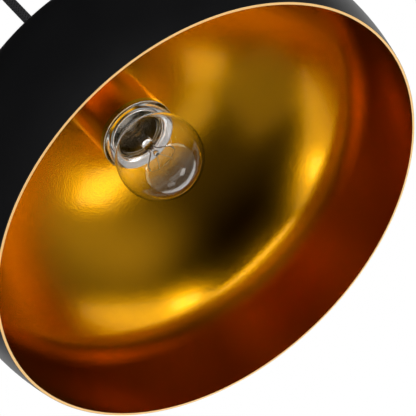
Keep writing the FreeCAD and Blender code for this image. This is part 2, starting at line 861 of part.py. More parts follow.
def grip_screw(label, level, plane):
    """A headless screw with a key socket, whose tip reaches towards the cord from the side."""
    radius = size("grip_screw_radius")
    tip = size("cord_radius") + size("grip_screw_gap")
    outer = tip + size("grip_screw_length")
    key_radius = radius / 2
    return turned_across(label, [
        (tip, 0),
        (outer - radius, 0),
        (outer - radius, key_radius),
        (outer, key_radius),
        (outer, radius),
        (tip + key_radius, radius),
        (tip, key_radius),
    ], level, plane)


# Lamp cord grip: screws on the nipple's top. Its mouth flares, so that the cord can lean in it.
lamp_grip_radius = size("lamp_grip_radius")
lamp_grip_top = neck_top + size("lamp_grip_height")
lamp_pivot = neck_top + size("lamp_pivot_above_cap")
throat = size("throat_radius")
grip_screw_radius = size("grip_screw_radius")
lamp_grip = turned("lamp_cord_grip", [
    (nipple_radius + thread, neck_top),
    (lamp_grip_radius, neck_top),
    (lamp_grip_radius, neck_top + size("lamp_grip_straight")),
    (size("lamp_grip_top_radius"), lamp_grip_top),
    (size("lamp_mouth_radius"), lamp_grip_top),
    (throat, lamp_pivot),
    (nipple_bore, nipple_top + hole),
    (nipple_radius + thread, nipple_top + hole),
])
drill(lamp_grip, 0, lamp_pivot, grip_screw_radius + thread, -lamp_grip_radius,
      lamp_grip_radius - size("cord_radius"), "XZ_Plane", True)
grip_screw("lamp_grip_screw", lamp_pivot, "YZ_Plane")

# Ceiling canopy: a spun cup with a corner in two bevels. Its rim meets the ceiling, and two side
# screws hold it.
canopy_radius = size("canopy_radius")
canopy_sheet = size("canopy_sheet")
canopy_corner = size("canopy_corner")
corner_side = canopy_corner * math.sqrt(0.5)
inner_corner = canopy_corner - canopy_sheet
inner_side = inner_corner * math.sqrt(0.5)
canopy_flat = canopy_radius - canopy_corner
canopy_floor = ceiling - size("canopy_height")
canopy_screw_level = ceiling - size("canopy_screw_drop")
canopy_screw_radius = size("canopy_screw_radius")
canopy = turned("ceiling_canopy", [
    (nipple_hole, canopy_floor),
    (canopy_flat, canopy_floor),
    (canopy_flat + corner_side, canopy_floor + canopy_corner - corner_side),
    (canopy_radius, canopy_floor + canopy_corner),
    (canopy_radius, ceiling),
    (canopy_radius - canopy_sheet, ceiling),
    (canopy_radius - canopy_sheet, canopy_floor + canopy_corner),
    (canopy_flat + inner_side, canopy_floor + canopy_corner - inner_side),
    (canopy_flat, canopy_floor + canopy_sheet),
    (nipple_hole, canopy_floor + canopy_sheet),
])
drill(canopy, 0, canopy_screw_level, canopy_screw_radius + hole, canopy_radius, 2 * canopy_radius,
      "YZ_Plane")

# Ceiling bracket: a steel strap with two slots for the ceiling's screws and a bent ear at each end.
bracket_span = canopy_radius - canopy_sheet - size("bracket_gap")
bracket_sheet = size("bracket_sheet")
bend = size("bracket_bend")
inner_bend = bend - bracket_sheet
ear_foot = ceiling - size("bracket_ear")
bracket_half = size("bracket_width") / 2
slot_x = size("slot_offset")
slot_half = size("slot_width") / 2
slot_run = size("slot_length") / 2 - slot_half
block_screw_y = size("block_screw_offset")
block_screw_radius = size("block_screw_radius")
bracket = new_body("ceiling_bracket")
pad(bracket, [
    (-bracket_span, ear_foot),
    (bracket_sheet - bracket_span, ear_foot),
    (bracket_sheet - bracket_span, ceiling - bend),
    (bend - bracket_span, ceiling - bracket_sheet, inner_bend, -1),
    (bracket_span - bend, ceiling - bracket_sheet),
    (bracket_span - bracket_sheet, ceiling - bend, inner_bend, -1),
    (bracket_span - bracket_sheet, ear_foot),
    (bracket_span, ear_foot),
    (bracket_span, ceiling - bend),
    (bracket_span - bend, ceiling, bend, 1),
    (bend - bracket_span, ceiling),
    (-bracket_span, ceiling - bend, bend, 1),
], -bracket_half, 2 * bracket_half, "XZ_Plane")
slot = pocket(bracket, [
    (slot_x - slot_run, -slot_half, slot_half, 1),
    (slot_x + slot_run, -slot_half),
    (slot_x + slot_run + slot_half, 0, slot_half, 1),
    (slot_x + slot_run, slot_half, slot_half, 1),
    (slot_x - slot_run, slot_half),
    (slot_x - slot_run - slot_half, 0, slot_half, 1),
], ceiling, bracket_sheet)
ear_hole = drill(bracket, 0, canopy_screw_level, canopy_screw_radius + thread, bracket_span,
                 bracket_sheet, "YZ_Plane")
mirror_cuts(bracket, [slot, ear_hole])
drill(bracket, 0, block_screw_y, block_screw_radius + thread, ceiling, bracket_sheet)

# Canopy screws: pass through the canopy's wall into the bracket's ears.
canopy_head = size("canopy_screw_head")
canopy_head_radius = size("canopy_screw_head_radius")
head_dome = (canopy_head * canopy_head + canopy_head_radius * canopy_head_radius) / (2 * canopy_head)
canopy_screw_inner = bracket_span - bracket_sheet - size("canopy_screw_past_ear")
turned_across("canopy_screws", [
    (canopy_screw_inner, 0),
    (canopy_radius + canopy_head, 0),
    (canopy_radius, canopy_head_radius, head_dome, 1),
    (canopy_radius, canopy_screw_radius),
    (canopy_screw_inner, canopy_screw_radius),
], canopy_screw_level)
mirror(pieces[-1])

# Ceiling cord grip: passes up through the canopy's floor, held by a nut, with a flared mouth below.
ceiling_grip_radius = size("ceiling_grip_radius")
ceiling_grip_end = canopy_floor - size("ceiling_grip_height")
ceiling_pivot = canopy_floor - size("ceiling_pivot_below_canopy")
ceiling_spigot_top = canopy_floor + size("ceiling_spigot_length")
ceiling_grip = turned("ceiling_cord_grip", [
    (nipple_bore, ceiling_spigot_top),
    (nipple_bore, ceiling_pivot + size("bore_step_past_pivot")),
    (throat, ceiling_pivot),
    (size("ceiling_mouth_radius"), ceiling_grip_end),
    (size("ceiling_grip_end_radius"), ceiling_grip_end),
    (ceiling_grip_radius, canopy_floor - size("ceiling_grip_straight")),
    (ceiling_grip_radius, canopy_floor),
    (nipple_radius, canopy_floor),
    (nipple_radius, ceiling_spigot_top),
])
drill(ceiling_grip, 0, ceiling_pivot, grip_screw_radius + thread, ceiling_grip_radius,
      ceiling_grip_radius - size("cord_radius"), "YZ_Plane")
grip_screw("ceiling_grip_screw", ceiling_pivot, "XZ_Plane")
hex_nut("ceiling_grip_nut", canopy_floor + canopy_sheet)

# Terminal block: three poles under the bracket, each a brass tube with two clamping screws.
block_half = size("block_width") / 2
block_end = size("block_length") / 2
block_top = ceiling - bracket_sheet
block_foot = block_top - size("block_height")
pitch = size("pole_pitch")
pole_level = block_top - size("pole_drop")
pole_radius = size("pole_radius")
pole_screw_x = size("pole_screw_offset")
pole_screw_radius = size("pole_screw_radius")
block_head_radius = size("block_screw_head_radius")
block = new_body("terminal_block")
pad(block, rectangle(-block_half, block_half, -block_end, block_end), block_foot, block_top - block_foot)
pole = drill(block, -pitch, pole_level, pole_radius + thread, block_half, 2 * block_half, "YZ_Plane")
pole_ports = [
    drill(block, side * pole_screw_x, -pitch, pole_screw_radius + thread, block_foot,
          pole_level - block_foot, "XY_Plane", True)
    for side in (-1, 1)
]
repeat_cuts(block, [pole, *pole_ports], "Y_Axis", pitch, 3)
drill(block, 0, block_screw_y, block_screw_radius + thread, block_top, block_top - block_foot)
drill(block, 0, block_screw_y, block_head_radius + thread, block_foot, screw_head + hole, "XY_Plane", True)

# Terminal inserts: the brass tubes, cross-bored from below for their screws.
insert_end = block_half - size("pole_recess")
tubes = turned_across("terminal_inserts", [
    (-insert_end, size("pole_bore_radius")),
    (insert_end, size("pole_bore_radius")),
    (insert_end, pole_radius),
    (-insert_end, pole_radius),
], pole_level, "XZ_Plane", pitch)
for side in (-1, 1):
    drill(tubes, side * pole_screw_x, -pitch, pole_screw_radius + thread, block_foot,
          pole_level - block_foot, "XY_Plane", True)
repeat(tubes, "Y_Axis", pitch, 3)

# Terminal screws: six, driven from below.
pole_screw_foot = block_foot + hole
pole_screw_tip = pole_level - core_radius - hole
turned("terminal_screws", [
    (0, pole_screw_foot + pole_screw_radius / 2),
    (pole_screw_radius / 2, pole_screw_foot),
    (pole_screw_radius, pole_screw_foot),
    (pole_screw_radius, pole_screw_tip),
    (0, pole_screw_tip),
], pole_screw_x, pitch)
repeat(pieces[-1], "Y_Axis", pitch, 3)
mirror(pieces[-1])

# Terminal block screw: holds the block up to the bracket.
turned("terminal_block_screw", [
    (0, block_foot + hole),
    (block_head_radius, block_foot + hole),
    (block_head_radius, block_foot + hole + screw_head),
    (block_screw_radius, block_foot + hole + screw_head),
    (block_screw_radius, ceiling - hole),
    (0, ceiling - hole),
], 0, -block_screw_y)

# Cord: one straight round run, from just inside the lamp's grip to just inside the ceiling's.
cord_radius = size("cord_radius")
past_pivot = size("cord_end_past_pivot")
cord_foot = lamp_pivot - past_pivot
cord_length = ceiling_pivot + past_pivot - cord_foot
cord = new_body("supply_cord")
run = new_sketch(cord, "XY_Plane", cord_foot)
section = run.addGeometry(Part.Circle(FreeCAD.Vector(0, 0, 0), UP, cord_radius.value), False)
constrain(run, "Radius", section, None, cord_radius)
constrain(run, "DistanceX", section, 3, 0)
constrain(run, "DistanceY", section, 3, 0)
run_pad = cord.newObject("PartDesign::Pad", "run")
run_pad.Profile = run
bind(run_pad, "Length", cord_length)

# Cores: three insulated wires leave each end of the cord. They spread on a small circle.
circle_radius = size("core_circle_radius")
core_bend = size("core_bend_radius").value
core_start = size("core_start_past_pivot")
core_turn = size("core_turn_height")
third_x = -circle_radius / 2
third_y = circle_radius * (math.sqrt(3) / 2)
core_feet = [(third_x, -third_y), (circle_radius, 0), (third_x, third_y)]
ceiling_turn = size("ceiling_core_turn_offset")
run_level = ceiling - size("ceiling_core_run_drop")
core_end = size("ceiling_core_end_offset")
wires("ceiling_cores", [
    [(x, y, ceiling_pivot + core_start), (x, y, run_level), (ceiling_turn, row * pitch, run_level),
     (ceiling_turn, row * pitch, pole_level), (core_end, row * pitch, pole_level)]
    for row, (x, y) in zip((-1, 0, 1), core_feet)
], core_radius.value, core_bend)
core_split = nipple_foot - size("core_split_below_nipple")
core_in_terminal = terminal_top - core_hole_depth + hole
core_in_barrel = barrel_top - barrel_bore_depth + hole
socket_routes = [
    [(third_x, side * third_y, lamp_pivot - core_start), (third_x, side * third_y, core_split),
     (0, side * core_hole_y, terminal_top + core_turn), (0, side * core_hole_y, core_in_terminal)]
    for side in (-1, 1)
]
socket_routes.append([
    (circle_radius, 0, lamp_pivot - core_start), (circle_radius, 0, core_split),
    (barrel_x, 0, barrel_top + core_turn), (barrel_x, 0, core_in_barrel),
])
wires("socket_cores", socket_routes, core_radius.value, core_bend)

# Bulb glass: a ball that blends into a short neck, blown in one piece.
globe = size("globe_radius")
glass = size("glass_wall")
cap_wall = size("bulb_cap_wall")
bulb_neck = cap_radius - cap_wall - size("neck_cement")
blend = size("neck_blend_radius")
blend_x = bulb_neck + blend
blend_rise = ((globe + blend) * (globe + blend) - blend_x * blend_x).root()
blend_level = cap_level - size("neck_length")
globe_level = blend_level - blend_rise
meet = globe / (globe + blend)
meet_inside = (globe - glass) / (globe + blend)
glass_end = cap_level + size("glass_in_cap")
turned("bulb_glass", [
    (0, globe_level - globe),
    (blend_x * meet, globe_level + blend_rise * meet, globe, 1),
    (bulb_neck, blend_level, blend, -1),
    (bulb_neck, glass_end),
    (bulb_neck - glass, glass_end),
    (bulb_neck - glass, blend_level),
    (blend_x * meet_inside, globe_level + blend_rise * meet_inside, blend + glass, 1),
    (0, globe_level - globe + glass, globe - glass, -1),
])

# Bulb stem: a glass cone sealed in the neck, drawn down to a tube, a press and a rod with a bead.
flare = bulb_neck - glass
stem_tube = size("stem_tube_radius")
flare_level = glass_end - glass - (flare - stem_tube)
press = globe_level + size("stem_press_above_globe")
press_radius = size("stem_press_radius")
press_top = press + size("stem_press_height")
stem_bead = size("stem_bead_radius")
stem_bead_level = globe_level + size("stem_bead_above_globe")
rod = stem_bead / 2
bead_join = (stem_bead * stem_bead - rod * rod).root()
turned("bulb_stem", [
    (0, stem_bead_level - stem_bead),
    (rod, stem_bead_level + bead_join, stem_bead, 1),
    (rod, press),
    (press_radius, press),
    (stem_tube, press_top),
    (stem_tube, flare_level),
    (flare, glass_end - glass),
    (flare, glass_end),
    (stem_tube - glass, flare_level),
    (stem_tube - glass, press_top),
    (0, press_top),
])

# Filament: a coiled wire drawn as the line of its coil, on two lead wires and two fine supports.
filament_level = globe_level - size("filament_below_globe")
filament_half = size("filament_half_span")
filament_top = filament_level + size("filament_rise")
filament_end = filament_level + size("filament_post")
filament_radius = size("filament_radius")
hook = filament_half / 2
wires("bulb_filament", [[
    (-filament_half, 0, filament_end),
    (-filament_half, 0, filament_level),
    (-hook, hook, filament_top),
    (hook, hook, filament_top),
    (filament_half, 0, filament_level),
    (filament_half, 0, filament_end),
]], filament_radius.value, size("filament_bend").value)
spread = size("lead_wire_spread")
wires("bulb_lead_wires", [
    [(side * spread, 0, press), (side * spread, 0, press - size("lead_wire_drop")),
     (side * filament_half, 0, filament_level + size("lead_wire_post")),
     (side * filament_half, 0, filament_end)]
    for side in (-1, 1)
], size("lead_wire_radius").value, size("lead_wire_bend").value)
support_radius = size("support_wire_radius")
hook_level = filament_top + filament_radius + thread
bead_drop = stem_bead_level - hook_level
hook_length = (hook * hook * 2 + bead_drop * bead_drop).root()
bead_share = stem_bead / hook_length
wires("bulb_support_wires", [
    [(side * hook * bead_share, hook * bead_share, stem_bead_level - bead_drop * bead_share),
     (side * hook, hook, hook_level)]
    for side in (-1, 1)
], support_radius.value, size("filament_bend").value)

# Bulb cap: thin metal, cemented over the neck, drawn in to a crown that the black glass fills.
cap_crown = size("bulb_cap_crown")
insulator = cap_radius - size("bulb_cap_crown_inset")
contact_radius = size("contact_radius")
solder = size("contact_height")
contact_level = bulb_tip - solder
turned("bulb_cap", [
    (cap_radius - cap_wall, cap_level),
    (cap_radius, cap_level),
    (cap_radius, cap_top - cap_crown),
    (insulator, cap_top),
    (insulator - cap_wall, cap_top - cap_wall),
    (cap_radius - cap_wall, cap_top - cap_crown - cap_wall),
])
turned("bulb_insulator", [
    (0, cap_top - cap_wall),
    (insulator - cap_wall, cap_top - cap_wall),
    (insulator, cap_top),
    (size("insulator_tip_radius"), contact_level),
    (0, contact_level),
])
turned("bulb_contact", [
    (0, contact_level),
    (contact_radius, contact_level),
    (0, bulb_tip, (solder * solder + contact_radius * contact_radius) / (2 * solder), 1),
])

doc.recompute()
for item in doc.Objects:
    if "Invalid" in item.State or "Error" in item.State:
        raise RuntimeError("%s did not recompute: %s" % (item.Label, item.State))
for piece in pieces:
    if piece.Shape.isNull() or not piece.Shape.isValid():
        raise RuntimeError("%s has no valid shape" % piece.Label)
os.makedirs("parts", exist_ok=True)
for piece in pieces:
    piece.Shape.exportStep(os.path.join("parts", piece.Label + ".step"))
section_area = math.pi * cord_radius.value ** 2
print("cord volume over section times length: %.5f"
      % (cord.Shape.Volume / (section_area * cord_length.value)))
print("%d sub-parts written" % len(pieces))
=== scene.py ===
"""Looks of the pendant lamp: a black dome shade, gold inside, a clear round bulb and a ceiling cup.

Metres, +Z up. The origin is in the ceiling plane, on the lamp's axis, so everything hangs below it.
Shapes are worked out in millimetres, with heights above the plane of the shade's rim.
"""
import json

import bmesh
import bpy
import numpy as np
from mathutils import Matrix, Vector

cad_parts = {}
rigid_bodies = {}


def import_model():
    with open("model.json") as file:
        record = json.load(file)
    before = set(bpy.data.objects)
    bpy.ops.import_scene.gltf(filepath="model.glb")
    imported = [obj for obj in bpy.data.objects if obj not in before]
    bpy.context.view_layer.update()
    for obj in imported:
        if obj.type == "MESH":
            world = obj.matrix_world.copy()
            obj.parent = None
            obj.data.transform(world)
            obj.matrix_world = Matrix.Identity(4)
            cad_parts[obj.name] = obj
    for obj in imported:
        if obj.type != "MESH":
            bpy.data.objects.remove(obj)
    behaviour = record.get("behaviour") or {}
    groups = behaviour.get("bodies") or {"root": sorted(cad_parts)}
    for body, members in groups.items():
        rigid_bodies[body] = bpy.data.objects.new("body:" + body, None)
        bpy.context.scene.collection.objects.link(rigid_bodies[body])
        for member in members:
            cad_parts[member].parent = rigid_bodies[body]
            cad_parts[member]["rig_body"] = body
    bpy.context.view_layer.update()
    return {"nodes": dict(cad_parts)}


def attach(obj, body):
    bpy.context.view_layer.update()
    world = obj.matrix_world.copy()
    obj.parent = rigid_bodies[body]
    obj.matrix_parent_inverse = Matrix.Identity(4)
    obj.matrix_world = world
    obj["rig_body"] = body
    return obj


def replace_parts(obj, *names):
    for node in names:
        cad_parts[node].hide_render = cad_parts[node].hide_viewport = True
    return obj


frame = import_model()


# Ceiling bracket: a strap of 2 mm steel, zinc plated, punched with two slots for the ceiling's screws.
# Each end is bent down to an ear for one of the cup's side screws.
class Wire:
    """A socket in a material. Sums add Math nodes, and node() adds any other node."""

    def __init__(self, tree, socket=None):
        self.tree = tree
        self.socket = socket

    def node(self, kind, settings, inputs, output=0):
        """A node of any kind, with its settings, and values or wires for its inputs."""
        made = self.tree.nodes.new(kind)
        for name, value in settings.items():
            setattr(made, name, value)
        for name, value in inputs.items():
            if isinstance(value, Wire):
                self.tree.links.new(value.socket, made.inputs[name])
            else:
                made.inputs[name].default_value = value
        return Wire(self.tree, made.outputs[output] if made.outputs else None)

    def math(self, operation, *others):
        values = dict(enumerate((self, *others)))
        return self.node("ShaderNodeMath", {"operation": operation}, values)

    def __add__(self, other):
        return self.math("ADD", other)

    def __sub__(self, other):
        return self.math("SUBTRACT", other)

    def __rsub__(self, other):
        return self.node("ShaderNodeMath", {"operation": "SUBTRACT"}, {0: other, 1: self})

    def __mul__(self, other):
        return self.math("MULTIPLY", other)

    __radd__ = __add__

    def part(self, axis):
        """One of the three numbers of a place, a direction or a UV."""
        return self.node("ShaderNodeSeparateXYZ", {}, {0: self}, axis)

    def between(self, low, high):
        """A smooth step from 0 where the value is low to 1 where it is high."""
        return self.node("ShaderNodeMapRange", {"interpolation_type": "SMOOTHSTEP"},
                         {0: self, 1: low, 2: high, 3: 0.0, 4: 1.0})

    def colours(self, low, high):
        """A colour that goes from low to high, colours or wires, as the value goes from 0 to 1."""
        return self.node("ShaderNodeMix", {"data_type": "RGBA"}, {0: self, 6: low, 7: high}, 2)


def new_finish(name):
    """An empty material, the wire its nodes start from, and a point's place on the piece in metres."""
    material = bpy.data.materials.new(name)
    material.use_nodes = True
    material.node_tree.nodes.clear()
    start = Wire(material.node_tree)
    return material, start, start.node("ShaderNodeTexCoord", {}, {}, "Object")


def close_finish(start, sockets):
    """The shader and the material's output, with values or links for the shader's sockets."""
    shader = start.node("ShaderNodeBsdfPrincipled", {}, sockets)
    start.node("ShaderNodeOutputMaterial", {}, {"Surface": shader})


def grain(start, place, scale, detail=2.0, roughness=0.5):
    """Cloudy noise from 0 to 1, scale lumps to the metre."""
    return start.node("ShaderNodeTexNoise", {},
                      {"Vector": place, "Scale": scale, "Detail": detail, "Roughness": roughness})


def bumps(start, height, distance):
    """A height from 0 to 1, over a distance in metres, as a normal."""
    return start.node("ShaderNodeBump", {}, {"Height": height, "Distance": distance})


def brushed_metal(name, dull, bright, roughness, lines, dents=0.00002):
    """A metal with a cloudy tone, pits, and lines[axis] fine lines to the metre along each axis."""
    metal, start, place = new_finish(name)
    drawn = start.node("ShaderNodeMapping", {}, {"Vector": place, "Scale": lines})
    brushing = grain(start, drawn, 1.0, 3.0)
    cloud = grain(start, place, 120.0, 4.0, 0.6)
    pits = grain(start, place, 1700.0)
    tone = (brushing * 0.5 + cloud * 0.7).between(0.35, 0.85)
    close_finish(start, {
        "Base Color": tone.colours(dull, bright),
        "Metallic": 1.0,
        "Roughness": roughness + cloud * 0.16 - brushing * 0.08,
        "Normal": bumps(start, brushing + pits * 0.4, dents),
    })
    return metal


def merge_skin(mesh, near, turn_out=False):
    """Merge the points of a mesh that are near one another, and turn its faces outwards if asked."""
    skin = bmesh.new()
    skin.from_mesh(mesh)
    bmesh.ops.remove_doubles(skin, verts=skin.verts, dist=near)
    bmesh.ops.dissolve_degenerate(skin, edges=skin.edges, dist=near / 20)
    if turn_out:
        bmesh.ops.recalc_face_normals(skin, faces=skin.faces)
    skin.to_mesh(mesh)
    skin.free()


def finish_piece(name, mesh, body, finishes, sharp):
    """A piece on its body, with its finishes, smooth between the edges that are sharper than sharp."""
    piece = bpy.data.objects.new(name, mesh)
    mesh.polygons.foreach_set("use_smooth", np.ones(len(mesh.polygons), bool))
    mesh.set_sharp_from_angle(angle=float(np.radians(sharp)))
    mesh.materials.clear()
    for finish in finishes:
        mesh.materials.append(finish)
    bpy.context.scene.collection.objects.link(piece)
    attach(piece, body)
    return piece


def drawn_over(node, name, finishes, sharp=25.0):
    """A piece with the CAD node's own faces, merged to one skin, that stands for the node."""
    source = frame["nodes"][node]
    mesh = source.data.copy()
    merge_skin(mesh, 2e-6)
    piece = finish_piece(name, mesh, source["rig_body"], finishes, sharp)
    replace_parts(piece, node)


zinc_plate = brushed_metal("zinc_plate", (0.50, 0.51, 0.52, 1), (0.72, 0.72, 0.70, 1), 0.27,
                           (140.0, 4200.0, 4200.0))
drawn_over("ceiling_bracket", "bracket_bent_strap", [zinc_plate])

# Terminal block: three poles in milky polyamide, hung under the bracket by one screw. Each pole is a
# brass tube with two slotted clamping screws.
polyamide, start, place = new_finish("polyamide")
milk = grain(start, place, 160.0, 3.0)
spark = grain(start, place, 2400.0)
close_finish(start, {
    "Base Color": milk.colours((0.80, 0.79, 0.74, 1), (0.88, 0.87, 0.83, 1)),
    "Roughness": 0.34 + spark * 0.16,
    "Subsurface Weight": 0.25,
    "Subsurface Radius": (0.002, 0.0018, 0.0014),
    "Normal": bumps(start, spark + milk * 0.6, 0.00005),
})
drawn_over("terminal_block", "terminal_block_moulded", [polyamide])
drawn_brass = brushed_metal("drawn_brass", (0.62, 0.44, 0.17, 1), (0.86, 0.66, 0.32, 1), 0.22,
                            (90.0, 3600.0, 3600.0))
drawn_over("terminal_inserts", "terminal_inserts_drawn", [drawn_brass])


def grid_faces(rows, columns, closed_rows, closed_columns):
    """Quads of a grid of rows x columns points, which wrap round where they are closed."""
    i, j = np.meshgrid(np.arange(rows - (not closed_rows)), np.arange(columns - (not closed_columns)),
                       indexing="ij")
    i, j = i.ravel(), j.ravel()
    down, along = (i + 1) % rows, (j + 1) % columns
    return np.stack([i * columns + j, i * columns + along, down * columns + along,
                     down * columns + j], 1)


ceiling_level = 350.0


def add_piece(name, shapes, body, finishes, sharp=32.0):
    """One mesh from shapes (points in millimetres, faces), with doubles merged and faces turned out."""
    points = np.vstack([shape[0] for shape in shapes])
    starts = np.cumsum([0] + [len(shape[0]) for shape in shapes[:-1]])
    faces = np.vstack([shape[1] + first for shape, first in zip(shapes, starts)])
    points = (points - (0.0, 0.0, ceiling_level)) / 1000.0
    mesh = bpy.data.meshes.new(name)
    mesh.from_pydata(points.tolist(), [], faces.tolist())
    merge_skin(mesh, 2e-7, turn_out=True)
    return finish_piece(name, mesh, body, finishes, sharp)


def plain_rows(*outline, turns=48, across_flats=None):
    """Rows of a turned outline of (radius, height). A hexagon's flats hold the radius to
    across_flats / 2 / cos(angle from the middle of the flat)."""
    outline = np.vstack([np.atleast_2d(np.asarray(part, float)) for part in outline])
    radius = np.repeat(outline[:, :1], turns, axis=1)
    if across_flats is not None:
        angles = 2 * np.pi * np.arange(turns) / turns
        hexagon = across_flats / 2 / np.cos(angles % (np.pi / 3) - np.pi / 6)
        radius = np.minimum(radius, hexagon)
    return radius, outline[:, 1]


def thread_rows(root, crest, pitch, low, high, turns=48, rounded=False, steps=8):
    """Rows of a right-hand screw thread: at the height h and angle a the radius swings between root and
    crest once while h / pitch - a / 2 pi grows by 1, in straight flanks or a sine. Both ends fade."""
    height = np.linspace(low, high, int(np.ceil((high - low) / pitch * steps)) + 1)
    angles = 2 * np.pi * np.arange(turns) / turns
    phase = (height[:, None] / pitch - angles / (2 * np.pi)) % 1.0
    swing = 0.5 - 0.5 * np.cos(2 * np.pi * phase) if rounded else 1 - np.abs(2 * phase - 1)
    fade = np.clip(np.minimum(height - low, high - height) / (0.5 * pitch), 0, 1)[:, None]
    return root + (crest - root) * swing * fade, height


def around(*rows, closed=False):
    """Rows carried round the axis: row i at the angle a gives (r cos a, r sin a, height)."""
    radius = np.vstack([row[0] for row in rows])
    height = np.concatenate([row[1] for row in rows])
    turns = radius.shape[1]
    angles = 2 * np.pi * np.arange(turns) / turns
    points = np.stack([radius * np.cos(angles), radius * np.sin(angles),
                       np.repeat(height[:, None], turns, axis=1)], 2).reshape(-1, 3)
    return points, grid_faces(len(radius), turns, closed, True)


def laid(shape, toward, foot, roll=0.0):
    """A shape whose own height runs along toward from foot, rolled about it by so many degrees."""
    rolled = Matrix.Rotation(np.radians(roll), 3, "Z")
    turn = Vector(toward).to_track_quat("Z", "Y").to_matrix() @ rolled
    return shape[0] @ np.array(turn).T + np.asarray(foot, float), shape[1]


def slotted_head(radius, top, slot_width, slot_depth, dome=0.0, edge=0.15):
    """A screw head. Its top is lines y = constant whose points x spread over the circle's chord as
    sin t, with a doubled line at each wall of the slot. It falls by dome x (distance / radius)^2 and by
    the slot's depth. Its edge goes out by a small bevel, down to 0 and in to the axis."""
    half = slot_width / 2
    face = radius - edge
    outer = -face * np.cos(np.linspace(0, np.arccos(half / face), 9))
    y = np.concatenate([outer, [-half, half], -outer[::-1]])[:, None]
    in_slot = np.concatenate([np.zeros(9), [1, 1], np.zeros(9)])[:, None]
    chord = np.sqrt(np.maximum(face ** 2 - y ** 2, 0))
    x = chord * np.sin(np.linspace(-np.pi / 2, np.pi / 2, 13))
    z = top - dome * (x ** 2 + y ** 2) / radius ** 2 - slot_depth * in_slot
    grid = np.stack([x, np.broadcast_to(y, x.shape), z], 2)
    loop = np.vstack([grid[:, 0], grid[::-1, -1]])
    outward = loop[:, :2] / np.hypot(loop[:, 0], loop[:, 1])[:, None]
    bevelled = np.column_stack([outward * radius, np.minimum(loop[:, 2], top - dome - edge)])
    foot = np.column_stack([outward * radius, np.zeros(len(loop))])
    side = np.vstack([loop, bevelled, foot, foot * 0])
    points = np.vstack([grid.reshape(-1, 3), side])
    faces = np.vstack([grid_faces(*grid.shape[:2], False, False),
                       grid_faces(4, len(loop), False, True) + grid.shape[0] * grid.shape[1]])
    return points, faces


screw_zinc = brushed_metal("screw_zinc", (0.46, 0.45, 0.40, 1), (0.74, 0.71, 0.60, 1), 0.24,
                           (1500.0, 1500.0, 3000.0))
downwards = (0, 0, -1)
pole_step, clamp_from_middle, clamp_tip_level = 10.0, 4.6, 338.7
clamp_root, clamp_crest, clamp_pitch, clamp_length = 1.35, 1.7, 0.7, 4.5
clamps = []
for side in (-1, 1):
    for row in (-1, 0, 1):
        tip = (side * clamp_from_middle, row * pole_step, clamp_tip_level)
        clamps.append(laid(slotted_head(clamp_root, clamp_length, 0.5, 1.1), downwards, tip,
                           31.0 * row))
        clamps.append(laid(around(
            plain_rows((0, 0), (clamp_root - 0.3, 0), (clamp_root, 0.25), turns=30),
            thread_rows(clamp_root, clamp_crest, clamp_pitch, 0.3, 4.2, 30),
            plain_rows((clamp_root - 0.05, 4.3), (0, 3.3), turns=30),
        ), downwards, tip))
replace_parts(add_piece("terminal_clamping_screws", clamps, "ceiling_group", [screw_zinc]),
            "terminal_screws")
between_poles, hanging_level = 5.0, 336.0
hanging_head, hanging_root, hanging_crest, hanging_end = 2.6, 1.25, 1.5, 349.8
block_screw = [
    laid(slotted_head(hanging_head, 1.8, 0.6, 0.9, 0.3), downwards,
         (0, between_poles, hanging_level), 20.0),
    laid(around(plain_rows((0, hanging_level - 0.5), (hanging_root, hanging_level - 0.5), turns=30),
                thread_rows(hanging_root, hanging_crest, 0.5, hanging_level, hanging_end - 0.2, 30),
                plain_rows((0.9, hanging_end), (0, hanging_end), turns=30)),
         (0, 0, 1), (0, between_poles, 0)),
]
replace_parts(add_piece("terminal_block_hanging_screw", block_screw, "ceiling_group", [screw_zinc]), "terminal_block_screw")

# Ceiling cores: the three insulated wires of the cord, brown, blue and green with yellow. They leave
# the cord grip, turn over on the floor of the cup and enter the terminal block from one side.
def core_plastic(name, low, high, second=None):
    """The plastic of a core, faintly streaked from low to high. A second pair of colours covers half of
    the way round, where the sine of the angle is above 0."""
    plastic, start, place = new_finish(name)
    streak = grain(start, place, 420.0)
    colour = streak.colours(low, high)
    if second:
        turn = start.node("ShaderNodeUVMap", {"uv_map": "round_and_along"}, {}).part(0)
        stripe = (turn * (2 * np.pi)).math("SINE").between(-0.06, 0.06)
        colour = stripe.colours(colour, streak.colours(*second))
    close_finish(start, {
        "Base Color": colour,
        "Roughness": 0.30 + streak * 0.15,
        "Normal": bumps(start, streak, 0.00004),
    })
    return plastic


pvc_brown = core_plastic("pvc_brown", (0.085, 0.030, 0.012, 1), (0.125, 0.048, 0.020, 1))
pvc_blue = core_plastic("pvc_blue", (0.012, 0.060, 0.270, 1), (0.020, 0.090, 0.360, 1))
pvc_earth = core_plastic("pvc_earth", (0.020, 0.190, 0.040, 1), (0.035, 0.260, 0.060, 1),
                         ((0.72, 0.50, 0.015, 1), (0.84, 0.60, 0.030, 1)))


def vectors_of(items, name):
    """The vectors of this name of all vertices or faces, one to a row."""
    values = np.zeros(len(items) * 3, np.float32)
    items.foreach_get(name, values)
    return values.reshape(-1, 3)


def unit(vectors):
    """The vectors at the length 1."""
    return vectors / np.linalg.norm(vectors, axis=1)[:, None]


